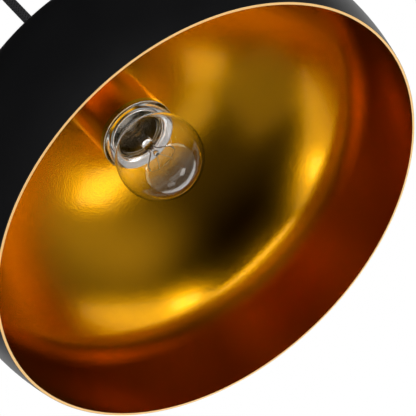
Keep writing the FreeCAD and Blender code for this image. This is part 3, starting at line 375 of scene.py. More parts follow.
def smooth_line(points, across, count):
    """Evenly spread points on the smooth quadratic spline of these control points, its unit direction,
    and two unit normals to it: direction x across, and that x direction."""
    curve = bpy.data.curves.new("line", "CURVE")
    curve.dimensions = "3D"
    spline = curve.splines.new("NURBS")
    spline.points.add(len(points) - 1)
    weighted = np.column_stack([np.asarray(points, float), np.ones(len(points))])
    spline.points.foreach_set("co", weighted.ravel())
    spline.order_u = 3
    spline.use_endpoint_u = True
    spline.resolution_u = 16
    holder = bpy.data.objects.new("line", curve)
    mesh = bpy.data.meshes.new_from_object(holder)
    line = vectors_of(mesh.vertices, "co").astype(float)
    bpy.data.meshes.remove(mesh)
    bpy.data.objects.remove(holder)
    bpy.data.curves.remove(curve)
    steps = np.linalg.norm(np.diff(line, axis=0), axis=1)
    keep = np.concatenate([[True], steps > 1e-6])
    line = line[keep]
    run = np.concatenate([[0], np.cumsum(np.linalg.norm(np.diff(line, axis=0), axis=1))])
    even = np.linspace(0, run[-1], count)
    line = np.stack([np.interp(even, run, line[:, axis]) for axis in range(3)], 1)
    ahead = unit(np.gradient(line, axis=0))
    aside = unit(np.cross(ahead, across))
    return line, ahead, aside, np.cross(aside, ahead)


def tube_along(line, aside, upright, radius, sides=14):
    """A round tube: at the point p of the line and the angle a, p + radius x (aside cos a +
    upright sin a), closed by a point at each end."""
    angles = 2 * np.pi * np.arange(sides) / sides
    cosine, sine = np.cos(angles)[:, None], np.sin(angles)[:, None]
    rows = line[:, None] + (aside[:, None] * cosine + upright[:, None] * sine) * radius
    rows = np.concatenate([np.broadcast_to(line[:1, None], (1, sides, 3)), rows,
                           np.broadcast_to(line[-1:, None], (1, sides, 3))])
    return rows.reshape(-1, 3), grid_faces(len(rows), sides, False, True)


def mark_round_and_along(piece, line, aside, upright):
    """UV of a core: u is the angle of a point about the nearest place of the line, v that place's share
    of the way along it."""
    mesh = piece.data
    points = vectors_of(mesh.vertices, "co") * 1000.0 + (0, 0, ceiling_level)
    nearest = ((points[:, None] - line[None]) ** 2).sum(2).argmin(1)
    apart = points - line[nearest]
    angle = np.arctan2((apart * upright[nearest]).sum(1), (apart * aside[nearest]).sum(1))
    marks = np.stack([angle / (2 * np.pi), nearest / len(line)], 1)
    layer = mesh.uv_layers.new(name="round_and_along")
    corners = np.zeros(len(mesh.loops), np.int32)
    mesh.loops.foreach_get("vertex_index", corners)
    layer.data.foreach_set("uv", marks[corners].astype(np.float32).ravel())


core_radius = 1.1
cores = [(-1, (-0.95, -1.645), pvc_brown, "brown"), (0, (1.9, 0.0), pvc_earth, "earth"),
         (1, (-0.95, 1.645), pvc_blue, "blue")]
for row, (x, y), finish, colour in cores:
    end = row * pole_step
    route = [(x, y, 313.0), (x, y, 321.0), (x, y, 328.6), (x + 0.6, y + 0.05 * end, 331.6),
             (6.0, 0.44 * y + 0.42 * end, 331.7), (12.4, 0.9 * end, 331.3), (15.4, end, 332.6),
             (15.4, end, 338.6), (13.4, end, 340.1), (10.0, end, 340.0), (6.5, end, 340.0),
             (2.3, end, 340.0)]
    line, _, aside, upright = smooth_line(route, (0.0, 1.0, 0.0), 90)
    tube = tube_along(line, aside, upright, core_radius)
    core = add_piece("ceiling_core_" + colour, [tube], "ceiling_group", [finish],
                     50.0)
    mark_round_and_along(core, line, aside, upright)
    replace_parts(core, "ceiling_cores")

# Ceiling cup: the canopy, spun from 1 mm sheet and sprayed satin black inside and out. Two domed
# screws through its wall hold it on the bracket's ears.
def arc(centre, radius, first, last, count):
    """Points (radius, height) at even angles, in degrees, of a circle's arc in the outline's plane."""
    angles = np.radians(np.linspace(first, last, count))
    return np.stack([centre[0] + radius * np.cos(angles), centre[1] + radius * np.sin(angles)], 1)


satin_black, start, place = new_finish("satin_black")
peel = grain(start, place, 1300.0)
cloud = grain(start, place, 35.0, 3.0)
close_finish(start, {
    "Base Color": cloud.colours((0.0036, 0.0036, 0.0042, 1), (0.0062, 0.0062, 0.0070, 1)),
    "Roughness": 0.34 + cloud * 0.10 + peel * 0.06,
    "Specular IOR Level": 0.40,
    "Normal": bumps(start, peel, 0.00003),
})
cup_radius, cup_screw_level = 40.0, 345.0
cup = around(plain_rows(
    [(5.2, 320.0), (19.0, 320.0), (19.8, 320.1)],
    [(33.2, 325.6), (33.85, 326.15), (34.3, 326.9)],
    [(39.8, 340.2), (cup_radius, 341.0), (cup_radius, 350.0)],
    [(cup_radius - 1.0, 350.0), (cup_radius - 1.0, 341.1), (38.85, 340.4)],
    [(33.5, 327.4), (33.14, 326.86), (32.6, 326.5), (19.6, 321.1), (19.0, 321.0), (5.2, 321.0)],
    turns=144), closed=True)
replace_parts(add_piece("ceiling_cup_spun", [cup], "ceiling_group", [satin_black], 38.0),
            "ceiling_canopy")
cup_screws = []
tip, shank_end, root, crest, pitch = 34.0, cup_radius + 0.6, 1.3, 1.6, 0.7
for side in (-1, 1):
    cup_screws.append(laid(slotted_head(3.2, 1.8, 0.7, 0.8, 1.15, 0.12), (side, 0, 0),
                           (side * cup_radius, 0, cup_screw_level), 58.0 * side))
    cup_screws.append(laid(around(
        plain_rows((0, tip), (root - 0.2, tip), (root, tip + 0.3), turns=30),
        thread_rows(root, crest, pitch, tip + 0.3, cup_radius - 1.2, 30),
        plain_rows((crest, cup_radius - 1.0), (crest, shank_end), (0, shank_end), turns=30),
    ), (side, 0, 0), (0, 0, cup_screw_level)))
black_screw = brushed_metal("black_screw", (0.030, 0.030, 0.032, 1), (0.075, 0.075, 0.080, 1), 0.30,
                            (1500.0, 3000.0, 3000.0))
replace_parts(add_piece("ceiling_cup_screws", cup_screws, "ceiling_group", [black_screw]),
            "canopy_screws")

# Ceiling cord grip: moulded black plastic with a flared mouth. Its spigot passes up through the cup,
# where a hexagon nut holds it, and a small screw from the side presses on the cord.
moulded_black, start, place = new_finish("moulded_black")
spark = grain(start, place, 2600.0)
flow = grain(start, place, 70.0)
close_finish(start, {
    "Base Color": flow.colours((0.010, 0.010, 0.011, 1), (0.017, 0.017, 0.018, 1)),
    "Roughness": 0.40 + spark * 0.18,
    "Normal": bumps(start, spark, 0.00006),
})
drawn_over("ceiling_cord_grip", "ceiling_cord_grip_moulded", [moulded_black])


def grip_screw(toward, foot):
    """A headless plastic screw, threaded from tip to end, with a hexagon key socket in its end."""
    tip, end, root, crest, pitch, key = 3.5, 7.3, 1.5, 1.9, 0.7, 1.65
    return laid(around(
        plain_rows((0, tip), (0.95, tip), (root, tip + 0.5), turns=36),
        thread_rows(root, crest, pitch, tip + 0.5, end - 0.2, 36),
        plain_rows((root, end - 0.1), (root - 0.15, end), (1.0, end), turns=36),
        plain_rows((3.0, end), (3.0, end - 1.9), turns=36, across_flats=key),
        plain_rows((0, end - 2.0), turns=36),
    ), toward, foot)


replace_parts(add_piece("ceiling_grip_key_screw", [grip_screw((1, 0, 0), (0, 0, 310.0))], "ceiling_group",
                      [moulded_black]), "ceiling_grip_screw")


def hexagon_nut(foot, bore=5.1, across=14.0, height=4.0):
    """A nut: rows held to the hexagon's radius, with 30 degree bevels that round its corners off."""
    out = np.linspace(0.96 * across / 2, across / np.sqrt(3), 6)
    bevel = (out - out[0]) * np.tan(np.radians(30))
    return around(
        plain_rows((bore + 0.35, foot), np.stack([out, foot + bevel], 1),
                   np.stack([out[::-1], foot + height - bevel[::-1]], 1), (bore + 0.35, foot + height),
                   (bore, foot + height - 0.35), turns=72, across_flats=across),
        plain_rows((bore, foot + 0.35), turns=72), closed=True)


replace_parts(add_piece("ceiling_grip_hexagon_nut", [hexagon_nut(321.0)], "ceiling_group",
                      [zinc_plate], 22.0), "ceiling_grip_nut")

# Cord: round mains cord of 6 mm in a black woven sleeve. It hangs straight between the grip on the
# lamp and the one under the ceiling cup.
cord_radius = 0.003
cord_foot, cord_top = -0.186, -0.038
strands, strand_pitch = 8.0, 0.0032
woven_sleeve, start, place = new_finish("woven_sleeve")
rise = place.part(2) * (2 * np.pi / strand_pitch)
turn = place.part(1).math("ARCTAN2", place.part(0)) * strands
strand_a = (turn + rise).math("SINE")
strand_b = (turn - rise).math("SINE")
weave = strand_a.math("MAXIMUM", strand_b)
fuzz = grain(start, place, 4200.0, 3.0)
# Painted shade: the colour is darker where the weave is low, in the gaps between the strands. The fuzz is
# the yarn's own random tone.
yarn_tone_and_gap_shade = (weave * 0.35 + fuzz * 0.5).between(0.0, 0.8)
close_finish(start, {
    "Base Color": yarn_tone_and_gap_shade.colours((0.006, 0.006, 0.007, 1), (0.034, 0.034, 0.038, 1)),
    "Roughness": 0.82,
    "Normal": bumps(start, weave * 0.7 + fuzz * 0.5, 0.00025),
})
cord_curve = bpy.data.curves.new("cord_run", "CURVE")
cord_curve.dimensions = "3D"
cord_line = cord_curve.splines.new("NURBS")
cord_line.points.add(3)
for point, height in zip(cord_line.points, np.linspace(cord_foot, cord_top, 4)):
    point.co = (0.0, 0.0, float(height), 1.0)
cord_line.order_u = 3
cord_line.use_endpoint_u = True
cord_curve.bevel_depth = cord_radius
cord_curve.bevel_resolution = 8
cord_curve.use_fill_caps = True
cord_curve.materials.append(woven_sleeve)
cord = bpy.data.objects.new("cord_run", cord_curve)
bpy.context.scene.collection.objects.link(cord)
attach(cord, "cord")
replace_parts(cord, "supply_cord")

# Lamp cord grip: a tapered black moulding that screws down on the nipple, with its own key screw. Its
# flared mouth leaves the cord room to lean.
drawn_over("lamp_cord_grip", "lamp_cord_grip_moulded", [moulded_black])
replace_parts(add_piece("lamp_grip_key_screw", [grip_screw((0, 1, 0), (0, 0, 166.0))], "lamp",
                      [moulded_black]), "lamp_grip_screw")

# Nipple and nut: a threaded steel tube, 10 mm across, that ties the cord grip, the neck cap and the
# socket's bridge together. The cores pass down inside it.
nipple_bore, nipple_foot, nipple_top, root, crest, pitch = 3.9, 142.0, 161.0, 4.6, 5.0, 1.0
nipple = around(
    plain_rows((nipple_bore, nipple_foot), (root - 0.1, nipple_foot), turns=48),
    thread_rows(root, crest, pitch, nipple_foot + 0.2, nipple_top - 0.2, 48),
    plain_rows((root - 0.1, nipple_top), (nipple_bore, nipple_top), turns=48), closed=True)
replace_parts(add_piece("nipple_threaded", [nipple], "lamp", [zinc_plate], 50.0), "nipple")
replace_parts(add_piece("nipple_hexagon_nut", [hexagon_nut(146.8)], "lamp",
                      [zinc_plate], 22.0), "nipple_nut")

# Neck cap: a turned cup, sprayed like the shade, that stands on the crown and hides the socket's top.
# A thread inside its foot takes the collar of the gold sleeve.
shade_top, collar_pitch = 113.0, 1.5
neck_radius, neck_bore, neck_hole, neck_top = 20.5, 19.3, 5.2, 152.0
neck_crest, neck_root = 18.3, 18.6
neck_thread = thread_rows(neck_crest, neck_root, collar_pitch, shade_top + 0.4, 122.2, 144, steps=6)
neck_cap = around(
    plain_rows((19.7, shade_top), (neck_radius - 0.1, shade_top), (neck_radius, shade_top + 0.15),
               (neck_radius, 147.6), (neck_radius - 0.1, 148.2), turns=144),
    plain_rows((16.9, 151.6), (16.4, 151.95), (15.8, neck_top), (neck_hole, neck_top),
               (neck_hole, neck_top - 1.2), turns=144),
    plain_rows((16.5, neck_top - 1.2), (neck_bore, 148.0), (neck_bore, 123.4), (neck_crest, 122.3),
               turns=144),
    (neck_thread[0][::-1], neck_thread[1][::-1]),
    plain_rows((neck_crest, shade_top + 0.3), (neck_root, shade_top), turns=144), closed=True)
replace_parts(add_piece("neck_cap_turned", [neck_cap], "lamp", [satin_black], 30.0),
            "neck_cap")

# Shade: spun from 1.2 mm sheet, sprayed satin black outside and gold inside. The cut edge of the rim is
# left bare and bright. The outline is the part's own: wall, shoulder and crown are tangent arcs.
satin_gold, start, place = new_finish("satin_gold")
peel = grain(start, place, 1000.0)
flakes = grain(start, place, 2600.0, 1.0)
cloud = grain(start, place, 28.0)
gold_tone = (cloud * 0.5 + flakes * 0.5).between(0.30, 0.70)
close_finish(start, {
    "Base Color": gold_tone.colours((0.66, 0.300, 0.0012, 1), (0.73, 0.335, 0.0020, 1)),
    "Metallic": 1.0,
    "Roughness": 0.165 + cloud * 0.04 + flakes * 0.04,
    "Coat Weight": 0.16,
    "Coat Roughness": 0.10,
    "Normal": bumps(start, peel + flakes * 0.4, 0.00006),
})
bare_edge, start, place = new_finish("bare_edge")
scratches = grain(start, place, 900.0, 4.0)
close_finish(start, {
    "Base Color": scratches.colours((0.92, 0.52, 0.17, 1), (1.0, 0.66, 0.27, 1)),
    "Metallic": 0.3,
    "Roughness": 0.40 + scratches * 0.15,
})
rim_radius, belly_radius, belly_level = 113.0, 120.0, 42.0
shoulder, flat, sheet = 39.5, 22.5, 1.2
bevel, collar_hole = 0.15, 18.4
overhang = belly_radius - rim_radius
wall_arc = (overhang ** 2 + belly_level ** 2) / (2 * overhang)
wall_middle = (belly_radius - wall_arc, belly_level)
shoulder_middle = (belly_radius - shoulder, belly_level)
reach = shoulder_middle[0] - flat
climb = shade_top - belly_level
crown_arc = (reach ** 2 + climb ** 2 - shoulder ** 2) / (2 * (climb - shoulder))
crown_middle = (flat, shade_top - crown_arc)
lean = np.degrees(np.arctan2(belly_level - crown_middle[1], reach))
bevel_foot = -np.degrees(np.arcsin((belly_level - bevel) / wall_arc))
inside_foot = -np.degrees(np.arcsin(belly_level / (wall_arc - sheet)))
spun_sheet = around(plain_rows(
    [(collar_hole, shade_top - sheet)],
    arc(crown_middle, crown_arc - sheet, 90, lean, 40),
    arc(shoulder_middle, shoulder - sheet, lean, 0, 32)[1:],
    arc(wall_middle, wall_arc - sheet, 0, inside_foot, 22)[1:],
    [(rim_radius - bevel, 0)],
    arc(wall_middle, wall_arc, bevel_foot, 0, 16),
    arc(shoulder_middle, shoulder, 0, lean, 20)[1:],
    arc(crown_middle, crown_arc, lean, 90, 30)[1:],
    [(collar_hole, shade_top)],
    turns=288), closed=True)
shade = add_piece("shade_spun", [spun_sheet], "lamp", [satin_gold, satin_black, bare_edge],
                  25.0)
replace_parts(shade, "shade")
centres = vectors_of(shade.data.polygons, "center")
normals = vectors_of(shade.data.polygons, "normal")
outward = (centres[:, :2] * normals[:, :2]).sum(1) / np.hypot(centres[:, 0], centres[:, 1])
on_rim = centres[:, 2] < (0.2 * bevel - ceiling_level) / 1000.0
painted_black = (outward > 0) | (normals[:, 2] > 0.5)
shade.data.polygons.foreach_set("material_index", np.where(on_rim, 2, np.where(painted_black, 1, 0)))

# Socket sleeve: a turned gold tube under the crown. Its threaded collar passes up through the shade
# into the neck cap, so that the two clamp the sheet between them.
sleeve_gold, start, place = new_finish("sleeve_gold")
peel = grain(start, place, 1100.0)
cloud = grain(start, place, 60.0)
close_finish(start, {
    "Base Color": cloud.colours((0.93, 0.480, 0.003, 1), (1.0, 0.540, 0.005, 1)),
    "Metallic": 1.0,
    "Roughness": 0.11 + cloud * 0.05,
    "Coat Weight": 0.16,
    "Coat Roughness": 0.08,
    "Normal": bumps(start, peel, 0.00003),
})
sleeve_radius, sleeve_bore, sleeve_foot = 19.9, 18.9, 85.5
collar_root, collar_bore, collar_foot, collar_top = 17.95, 17.2, 111.8, 121.8
sleeve = around(
    plain_rows((sleeve_bore, sleeve_foot), (sleeve_radius - 0.15, sleeve_foot),
               (sleeve_radius, sleeve_foot + 0.15), (sleeve_radius, 98.0), (sleeve_radius, collar_foot),
               (collar_root, collar_foot), turns=144),
    thread_rows(collar_root, 18.2, collar_pitch, collar_foot + 0.2, collar_top - 0.2, 144, steps=6),
    plain_rows((17.9, collar_top), (collar_bore, collar_top), (collar_bore, collar_foot - 1.0),
               (sleeve_bore, collar_foot - 1.0), turns=144), closed=True)
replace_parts(add_piece("socket_sleeve_gold", [sleeve], "lamp", [sleeve_gold], 32.0),
            "socket_sleeve")

# Socket bridge: a steel strap bent to a frame. Its feet are screwed to the porcelain, its top is tapped
# for the nipple, and a brass earth lug is screwed to one leg.
bridge_steel = brushed_metal("bridge_steel", (0.48, 0.48, 0.49, 1), (0.70, 0.69, 0.67, 1), 0.28,
                             (3800.0, 160.0, 3800.0))
drawn_over("socket_bridge", "socket_bridge_bent", [bridge_steel])
drawn_over("earth_lug", "earth_lug_pressed", [drawn_brass])


def machine_screw(head, length, toward, foot, roll, shank=1.4, pitch=0.5, head_height=1.8):
    """A slotted screw: a domed head on a threaded shank that runs back from the head's base."""
    return [
        laid(slotted_head(head, head_height, 0.5, 0.5 * head_height, 0.35), toward, foot, roll),
        laid(around(plain_rows((0, -length), (shank - 0.35, -length), (shank - 0.2, 0.3 - length),
                               turns=30),
                    thread_rows(shank - 0.25, shank, pitch, 0.3 - length, -0.1, 30),
                    plain_rows((shank - 0.25, 0.0), (shank - 0.25, 0.4), (0, 0.4), turns=30)),
             toward, foot),
    ]


earth_screw = machine_screw(2.2, 3.3, (-1, 0, 0), (11.2, 0, 125.0), 40.0)
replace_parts(add_piece("earth_clamping_screw", earth_screw, "lamp", [drawn_brass]),
            "earth_screw")
foot_screws = []
for side in (-1, 1):
    foot_screws += machine_screw(2.5, 5.5, (0, 0, 1), (side * 9.3, 0, 120.5), 25.0 * side)
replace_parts(add_piece("bridge_foot_screws", foot_screws, "lamp", [screw_zinc]),
            "bridge_screws")

# Socket insert: glazed porcelain with two brass terminals on its back, one on the rivet of the centre
# contact and one on the rivet of the screw shell.
porcelain, start, place = new_finish("porcelain")
glaze = grain(start, place, 55.0, 3.0)
specks = grain(start, place, 1500.0).between(0.70, 0.78)
body_tone = glaze.colours((0.80, 0.78, 0.72, 1), (0.88, 0.87, 0.83, 1))
close_finish(start, {
    "Base Color": specks.colours(body_tone, (0.42, 0.36, 0.28, 1)),
    "Roughness": 0.10 + glaze * 0.12,
    "Normal": bumps(start, glaze, 0.00012),
})
drawn_over("socket_insert", "socket_insert_porcelain", [porcelain])
drawn_over("centre_contact", "centre_contact_leaf", [drawn_brass])
drawn_over("shell_rivet", "shell_rivet_pressed", [drawn_brass])
drawn_over("socket_terminals", "socket_terminals_milled", [drawn_brass])
side_screws = []
for side in (-1, 1):
    side_screws += machine_screw(1.9, 2.4, (0, side, 0), (0, side * 12.0, 123.5), 35.0 * side)
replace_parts(add_piece("terminal_side_screws", side_screws, "lamp", [screw_zinc]),
            "socket_terminal_screws")

# Socket cores: brown and blue go to the two terminals and the earth core to the lug, each in a soft
# bend from the nipple.
for side, finish, colour in ((-1, pvc_brown, "brown"), (1, pvc_blue, "blue")):
    route = [(-0.95, side * 1.645, 163.0), (-0.95, side * 1.645, 150.0), (-0.95, side * 1.645, 140.6),
             (-0.8, side * 2.6, 137.4), (-0.2, side * 7.0, 131.6), (0.0, side * 8.2, 128.8),
             (0.0, side * 8.2, 126.0), (0.0, side * 8.2, 121.8)]
    line, _, aside, upright = smooth_line(route, (1.0, 0.0, 0.0), 70)
    core = add_piece("socket_core_" + colour, [tube_along(line, aside, upright, core_radius)], "lamp",
                     [finish], 50.0)
    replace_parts(core, "socket_cores")
route = [(1.9, 0.0, 163.0), (1.9, 0.0, 150.0), (1.9, 0.0, 141.6), (2.6, 0.0, 138.6), (8.2, 0.0, 135.6),
         (10.1, 0.0, 133.6), (10.1, 0.0, 131.4), (10.1, 0.0, 128.6)]
line, _, aside, upright = smooth_line(route, (0.0, 1.0, 0.0), 70)
core = add_piece("socket_core_earth", [tube_along(line, aside, upright, core_radius)], "lamp",
                 [pvc_earth], 50.0)
mark_round_and_along(core, line, aside, upright)
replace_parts(core, "socket_cores")

# Screw shell: thin brass cup in the porcelain's bore, its wall rolled to the bulb's round thread of
# 3.6 mm pitch above a plain mouth.
bulb_pitch = 3.629
rolled_brass = brushed_metal("rolled_brass", (0.66, 0.48, 0.20, 1), (0.90, 0.72, 0.40, 1), 0.18,
                             (400.0, 400.0, 5200.0))
shell_bore, shell_wall, shell_foot, shell_floor, shell_hole = 13.4, 0.4, 86.1, 113.5, 8.0
wall_in = thread_rows(shell_bore, 12.85, bulb_pitch, 93.0, 111.5, 96, rounded=True, steps=14)
wall_out = (wall_in[0][::-1] + shell_wall, wall_in[1][::-1])
shell = around(
    plain_rows((shell_bore, shell_foot), turns=96), wall_in,
    plain_rows((shell_bore, shell_floor), (shell_hole, shell_floor),
               (shell_hole, shell_floor + shell_wall),
               (shell_bore + shell_wall, shell_floor + shell_wall), turns=96), wall_out,
    plain_rows((shell_bore + shell_wall, shell_foot), turns=96), closed=True)
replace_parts(add_piece("screw_shell_rolled", [shell], "lamp", [rolled_brass], 40.0),
            "screw_shell")

# Chrome ring: turned brass, polished and plated. A thin lip, a shallow dish and a round bead about the
# opening that the bulb passes through.
ring_chrome, start, place = new_finish("ring_chrome")
smear = grain(start, place, 120.0, 3.0)
close_finish(start, {
    "Base Color": smear.colours((0.78, 0.79, 0.80, 1), (0.86, 0.87, 0.88, 1)),
    "Metallic": 1.0,
    "Roughness": 0.04 + smear * 0.05,
    "Normal": bumps(start, smear, 0.00001),
})
ring_radius, ring_foot, lip, bead, opening, dish_arc = 20.3, 82.3, 0.3, 0.6, 13.8, 9.0
spigot_foot, spigot_top, spigot_bore, spigot_root = 85.7, 90.5, 17.8, 18.6
bead_middle = (opening + bead, ring_foot + 1.3)
dish_start = np.array([opening + 2 * bead, ring_foot + 2.2])
dish_end = np.array([ring_radius - 2 * lip, ring_foot + lip])
dish_chord = dish_end - dish_start
dish_side = np.array([dish_chord[1], -dish_chord[0]]) / np.hypot(*dish_chord)
dish_offset = np.sqrt(dish_arc ** 2 - (dish_chord @ dish_chord) / 4)
dish_middle = (dish_start + dish_end) / 2 + dish_side * dish_offset
dish_from = np.degrees(np.arctan2(*(dish_start - dish_middle)[::-1]))
dish_to = np.degrees(np.arctan2(*(dish_end - dish_middle)[::-1]))
ring = around(
    plain_rows((opening, spigot_foot), arc(bead_middle, bead, 180, 360, 17),
               arc(dish_middle, dish_arc, dish_from, dish_to, 15),
               arc((ring_radius - lip, ring_foot + lip), lip, 180, 360, 13)[1:],
               [(ring_radius, sleeve_foot), (spigot_root, sleeve_foot)], turns=192),
    thread_rows(spigot_root, 18.8, 1.0, spigot_foot, spigot_top - 0.2, 192, steps=6),
    plain_rows((spigot_root, spigot_top), (spigot_bore, spigot_top), (spigot_bore, spigot_foot),
               turns=192), closed=True)
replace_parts(add_piece("chrome_ring_polished", [ring], "lamp", [ring_chrome], 40.0),
            "chrome_ring")

# Bulb glass: a clear ball of 45 mm, blown 0.6 mm thick in one piece with a short neck, which stands
# inside the cap. A hollow fillet joins the ball to the neck.
clear_glass, start, place = new_finish("clear_glass")
haze = grain(start, place, 40.0)
close_finish(start, {
    "Base Color": (1.0, 1.0, 1.0, 1),
    "Roughness": haze * 0.01,
    "Transmission Weight": 1.0,
    "IOR": 1.48,
})
globe, globe_level, neck, blend, wall = 22.5, 60.506, 12.6, 6.0, 0.6
blend_rise = np.sqrt((globe + blend) ** 2 - (neck + blend) ** 2)
blend_middle = (neck + blend, globe_level + blend_rise)
meet = np.degrees(np.arctan2(blend_rise, neck + blend))
ball = around(plain_rows(
    arc((0, globe_level), globe, -90, meet, 60),
    arc(blend_middle, blend, meet + 180, 180, 16)[1:],
    [(neck, 92.0), (neck - wall, 92.0)],
    arc(blend_middle, blend + wall, 180, meet + 180, 16),
    arc((0, globe_level), globe - wall, meet, -90, 60)[1:],
    turns=128))
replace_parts(add_piece("bulb_glass_clear", [ball], "bulb", [clear_glass], 60.0),
            "bulb_glass")

# Bulb stem: a glass cone sealed into the neck, drawn down to a tube, pinched flat on the lead wires,
# and drawn out again to a thin rod with a bead for the support wires.
stem = around(plain_rows(
    arc((0, 64.5), 1.6, -90, 58, 14),
    [(0.8, 66.2), (0.8, 69.2), (1.1, 69.8), (1.9, 70.1), (2.55, 70.7), (2.75, 72.0)],
    [(3.1, 73.8), (3.2, 74.6)],
    [(3.2, 80.6), (3.5, 82.4), (4.4, 83.8), (7.4, 86.8), (12.0, 91.4), (12.0, 92.0)],
    [(6.6, 86.6), (3.9, 84.0), (2.9, 82.4), (2.6, 80.6), (2.6, 75.6), (2.2, 74.3), (0, 74.0)],
    turns=48))
# The pinch: y x (1 - pinch exp(-((height - level) / spread)^2)).
pinch, pinch_level, pinch_spread = 0.45, 71.2, 1.3
stem[0][:, 1] *= 1 - pinch * np.exp(-((stem[0][:, 2] - pinch_level) / pinch_spread) ** 2)
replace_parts(add_piece("bulb_stem_glass", [stem], "bulb", [clear_glass], 60.0),
            "bulb_stem")

# Bulb wires: two stiff leads out of the pinch, two fine molybdenum supports fused into the bead, and
# the filament, a coil of dark tungsten that hangs over them.
lead_metal = brushed_metal("lead_metal", (0.42, 0.40, 0.37, 1), (0.66, 0.63, 0.58, 1), 0.24,
                           (2000.0, 2000.0, 600.0))
lead_radius, support_radius, filament_radius = 0.3, 0.14, 0.04
leads = []
for side in (-1, 1):
    route = [(side * 1.6, 0, 70.0), (side * 1.6, 0, 68.6), (side * 2.4, 0, 66.4), (side * 6.6, 0, 62.6),
             (side * 8.0, 0, 60.6), (side * 8.0, 0, 58.2)]
    line, _, aside, upright = smooth_line(route, (0.0, 1.0, 0.0), 40)
    leads.append(tube_along(line, aside, upright, lead_radius, 10))
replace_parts(add_piece("bulb_leads_drawn", leads, "bulb", [lead_metal], 50.0),
            "bulb_lead_wires")
supports = []
for side in (-1, 1):
    route = [(side * 0.75, 0.75, 63.4), (side * 2.2, 2.2, 61.4), (side * 3.9, 3.9, 59.0),
             (side * 4.0, 4.0, 58.86)]
    line, _, aside, upright = smooth_line(route, (0.0, 0.0, 1.0), 16)
    supports.append(tube_along(line, aside, upright, support_radius, 8))
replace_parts(add_piece("bulb_supports_fine", supports, "bulb", [lead_metal], 50.0),
            "bulb_support_wires")
tungsten = brushed_metal("tungsten", (0.16, 0.14, 0.12, 1), (0.34, 0.31, 0.27, 1), 0.30,
                         (900.0, 900.0, 900.0))
route = [(-8.0, 0, 58.2), (-8.0, 0.1, 57.3), (-7.2, 0.8, 57.2), (-4.6, 3.4, 58.3), (-3.6, 4.0, 58.5),
         (0, 4.0, 58.35), (3.6, 4.0, 58.5), (4.6, 3.4, 58.3), (7.2, 0.8, 57.2), (8.0, 0.1, 57.3),
         (8.0, 0, 58.2)]
coil_steps, coil_turns, coil_radius = 900, 80, 0.11
line, ahead, aside, upright = smooth_line(route, (0.0, 0.35, 1.0), coil_steps)
# The coil: p + radius x (aside cos 2 pi s n + upright sin 2 pi s n), s from 0 to 1, n the turns.
winding = 2 * np.pi * coil_turns * np.linspace(0, 1, coil_steps)[:, None]
coil = line + coil_radius * (aside * np.cos(winding) + upright * np.sin(winding))
coil_ahead = unit(np.gradient(coil, axis=0))
coil_aside = unit(np.cross(coil_ahead, ahead))
filament = tube_along(coil, coil_aside, np.cross(coil_aside, coil_ahead), filament_radius, 5)
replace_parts(add_piece("bulb_filament_coil", [filament], "bulb", [tungsten], 60.0),
            "bulb_filament")

# Bulb cap: thin rolled metal cemented over the neck, with the same round thread as the shell. The end
# is black glass with a button of solder in the middle.
cap_nickel = brushed_metal("cap_nickel", (0.58, 0.55, 0.47, 1), (0.80, 0.77, 0.68, 1), 0.22,
                           (500.0, 500.0, 5200.0))
cap_radius, cap_wall, cap_foot = 13.1, 0.4, 86.0
cap_out = thread_rows(cap_radius, 12.25, bulb_pitch, 92.6, 106.0, 96, rounded=True, steps=14)
cap_in = (cap_out[0][::-1] - cap_wall, cap_out[1][::-1])
cap = around(
    plain_rows((cap_radius - cap_wall, cap_foot), (cap_radius, cap_foot), turns=96), cap_out,
    plain_rows((12.8, 106.5), (10.6, 108.0), (10.2, 107.6), (12.4, 106.1), turns=96), cap_in,
    closed=True)
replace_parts(add_piece("bulb_cap_rolled", [cap], "bulb", [cap_nickel], 40.0), "bulb_cap")
black_glass, start, place = new_finish("black_glass")
flow = grain(start, place, 260.0, 3.0)
close_finish(start, {
    "Base Color": flow.colours((0.006, 0.006, 0.010, 1), (0.020, 0.018, 0.026, 1)),
    "Roughness": 0.08 + flow * 0.12,
    "Normal": bumps(start, flow, 0.00015),
})
insulator = around(plain_rows((0, 107.6), (10.2, 107.6), (10.6, 108.0), (9.6, 109.0), (7.4, 110.7),
                              (6.2, 111.5), (5.6, 111.8), (0, 111.8), turns=72))
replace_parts(add_piece("bulb_insulator_fused", [insulator], "bulb", [black_glass], 40.0),
            "bulb_insulator")
soft_solder, start, place = new_finish("soft_solder")
lumps = grain(start, place, 420.0, 3.0)
close_finish(start, {
    "Base Color": lumps.colours((0.42, 0.42, 0.44, 1), (0.70, 0.70, 0.72, 1)),
    "Metallic": 1.0,
    "Roughness": 0.26 + lumps * 0.22,
    "Normal": bumps(start, lumps, 0.0003),
})
button_radius, button_height, button_foot = 4.8, 1.2, 111.8
button_sunk = (button_radius ** 2 - button_height ** 2) / (2 * button_height)
button_arc = button_sunk + button_height
button_edge = np.degrees(np.arccos(button_radius / button_arc))
button = around(plain_rows(
    (0, button_foot), arc((0, button_foot - button_sunk), button_arc, button_edge, 90, 12), turns=48))
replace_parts(add_piece("bulb_contact_soldered", [button], "bulb_travel", [soft_solder], 60.0),
            "bulb_contact")

# Floor and light: a pale floor, and flat soft boxes set low round the lamp and below it, because its
# mouth faces down and the gold shows what lies low. A small bright box in the middle of each side box
# gives the brightest spots of the gold.
floor_paint, start, place = new_finish("floor_paint")
mottle = grain(start, place, 3.0, 3.0)
seen = start.node("ShaderNodeLightPath", {}, {}, "Is Camera Ray")
close_finish(start, {
    "Base Color": mottle.colours((0.78, 0.78, 0.77, 1), (0.82, 0.82, 0.81, 1)),
    "Roughness": 0.6,
    "Specular IOR Level": 0.0,
    "Emission Color": seen.colours((0.0, 0.0, 0.0, 1), (0.58, 0.58, 0.58, 1)),
    "Emission Strength": 1.0,
})
floor_level = -1.9
floor_corners = [(x, y, floor_level) for x, y in ((-4, -4), (4, -4), (4, 4), (-4, 4))]
floor_mesh = bpy.data.meshes.new("floor")
floor_mesh.from_pydata(floor_corners, [], [(0, 1, 2, 3)])
floor_mesh.materials.append(floor_paint)
floor = bpy.data.objects.new("floor", floor_mesh)
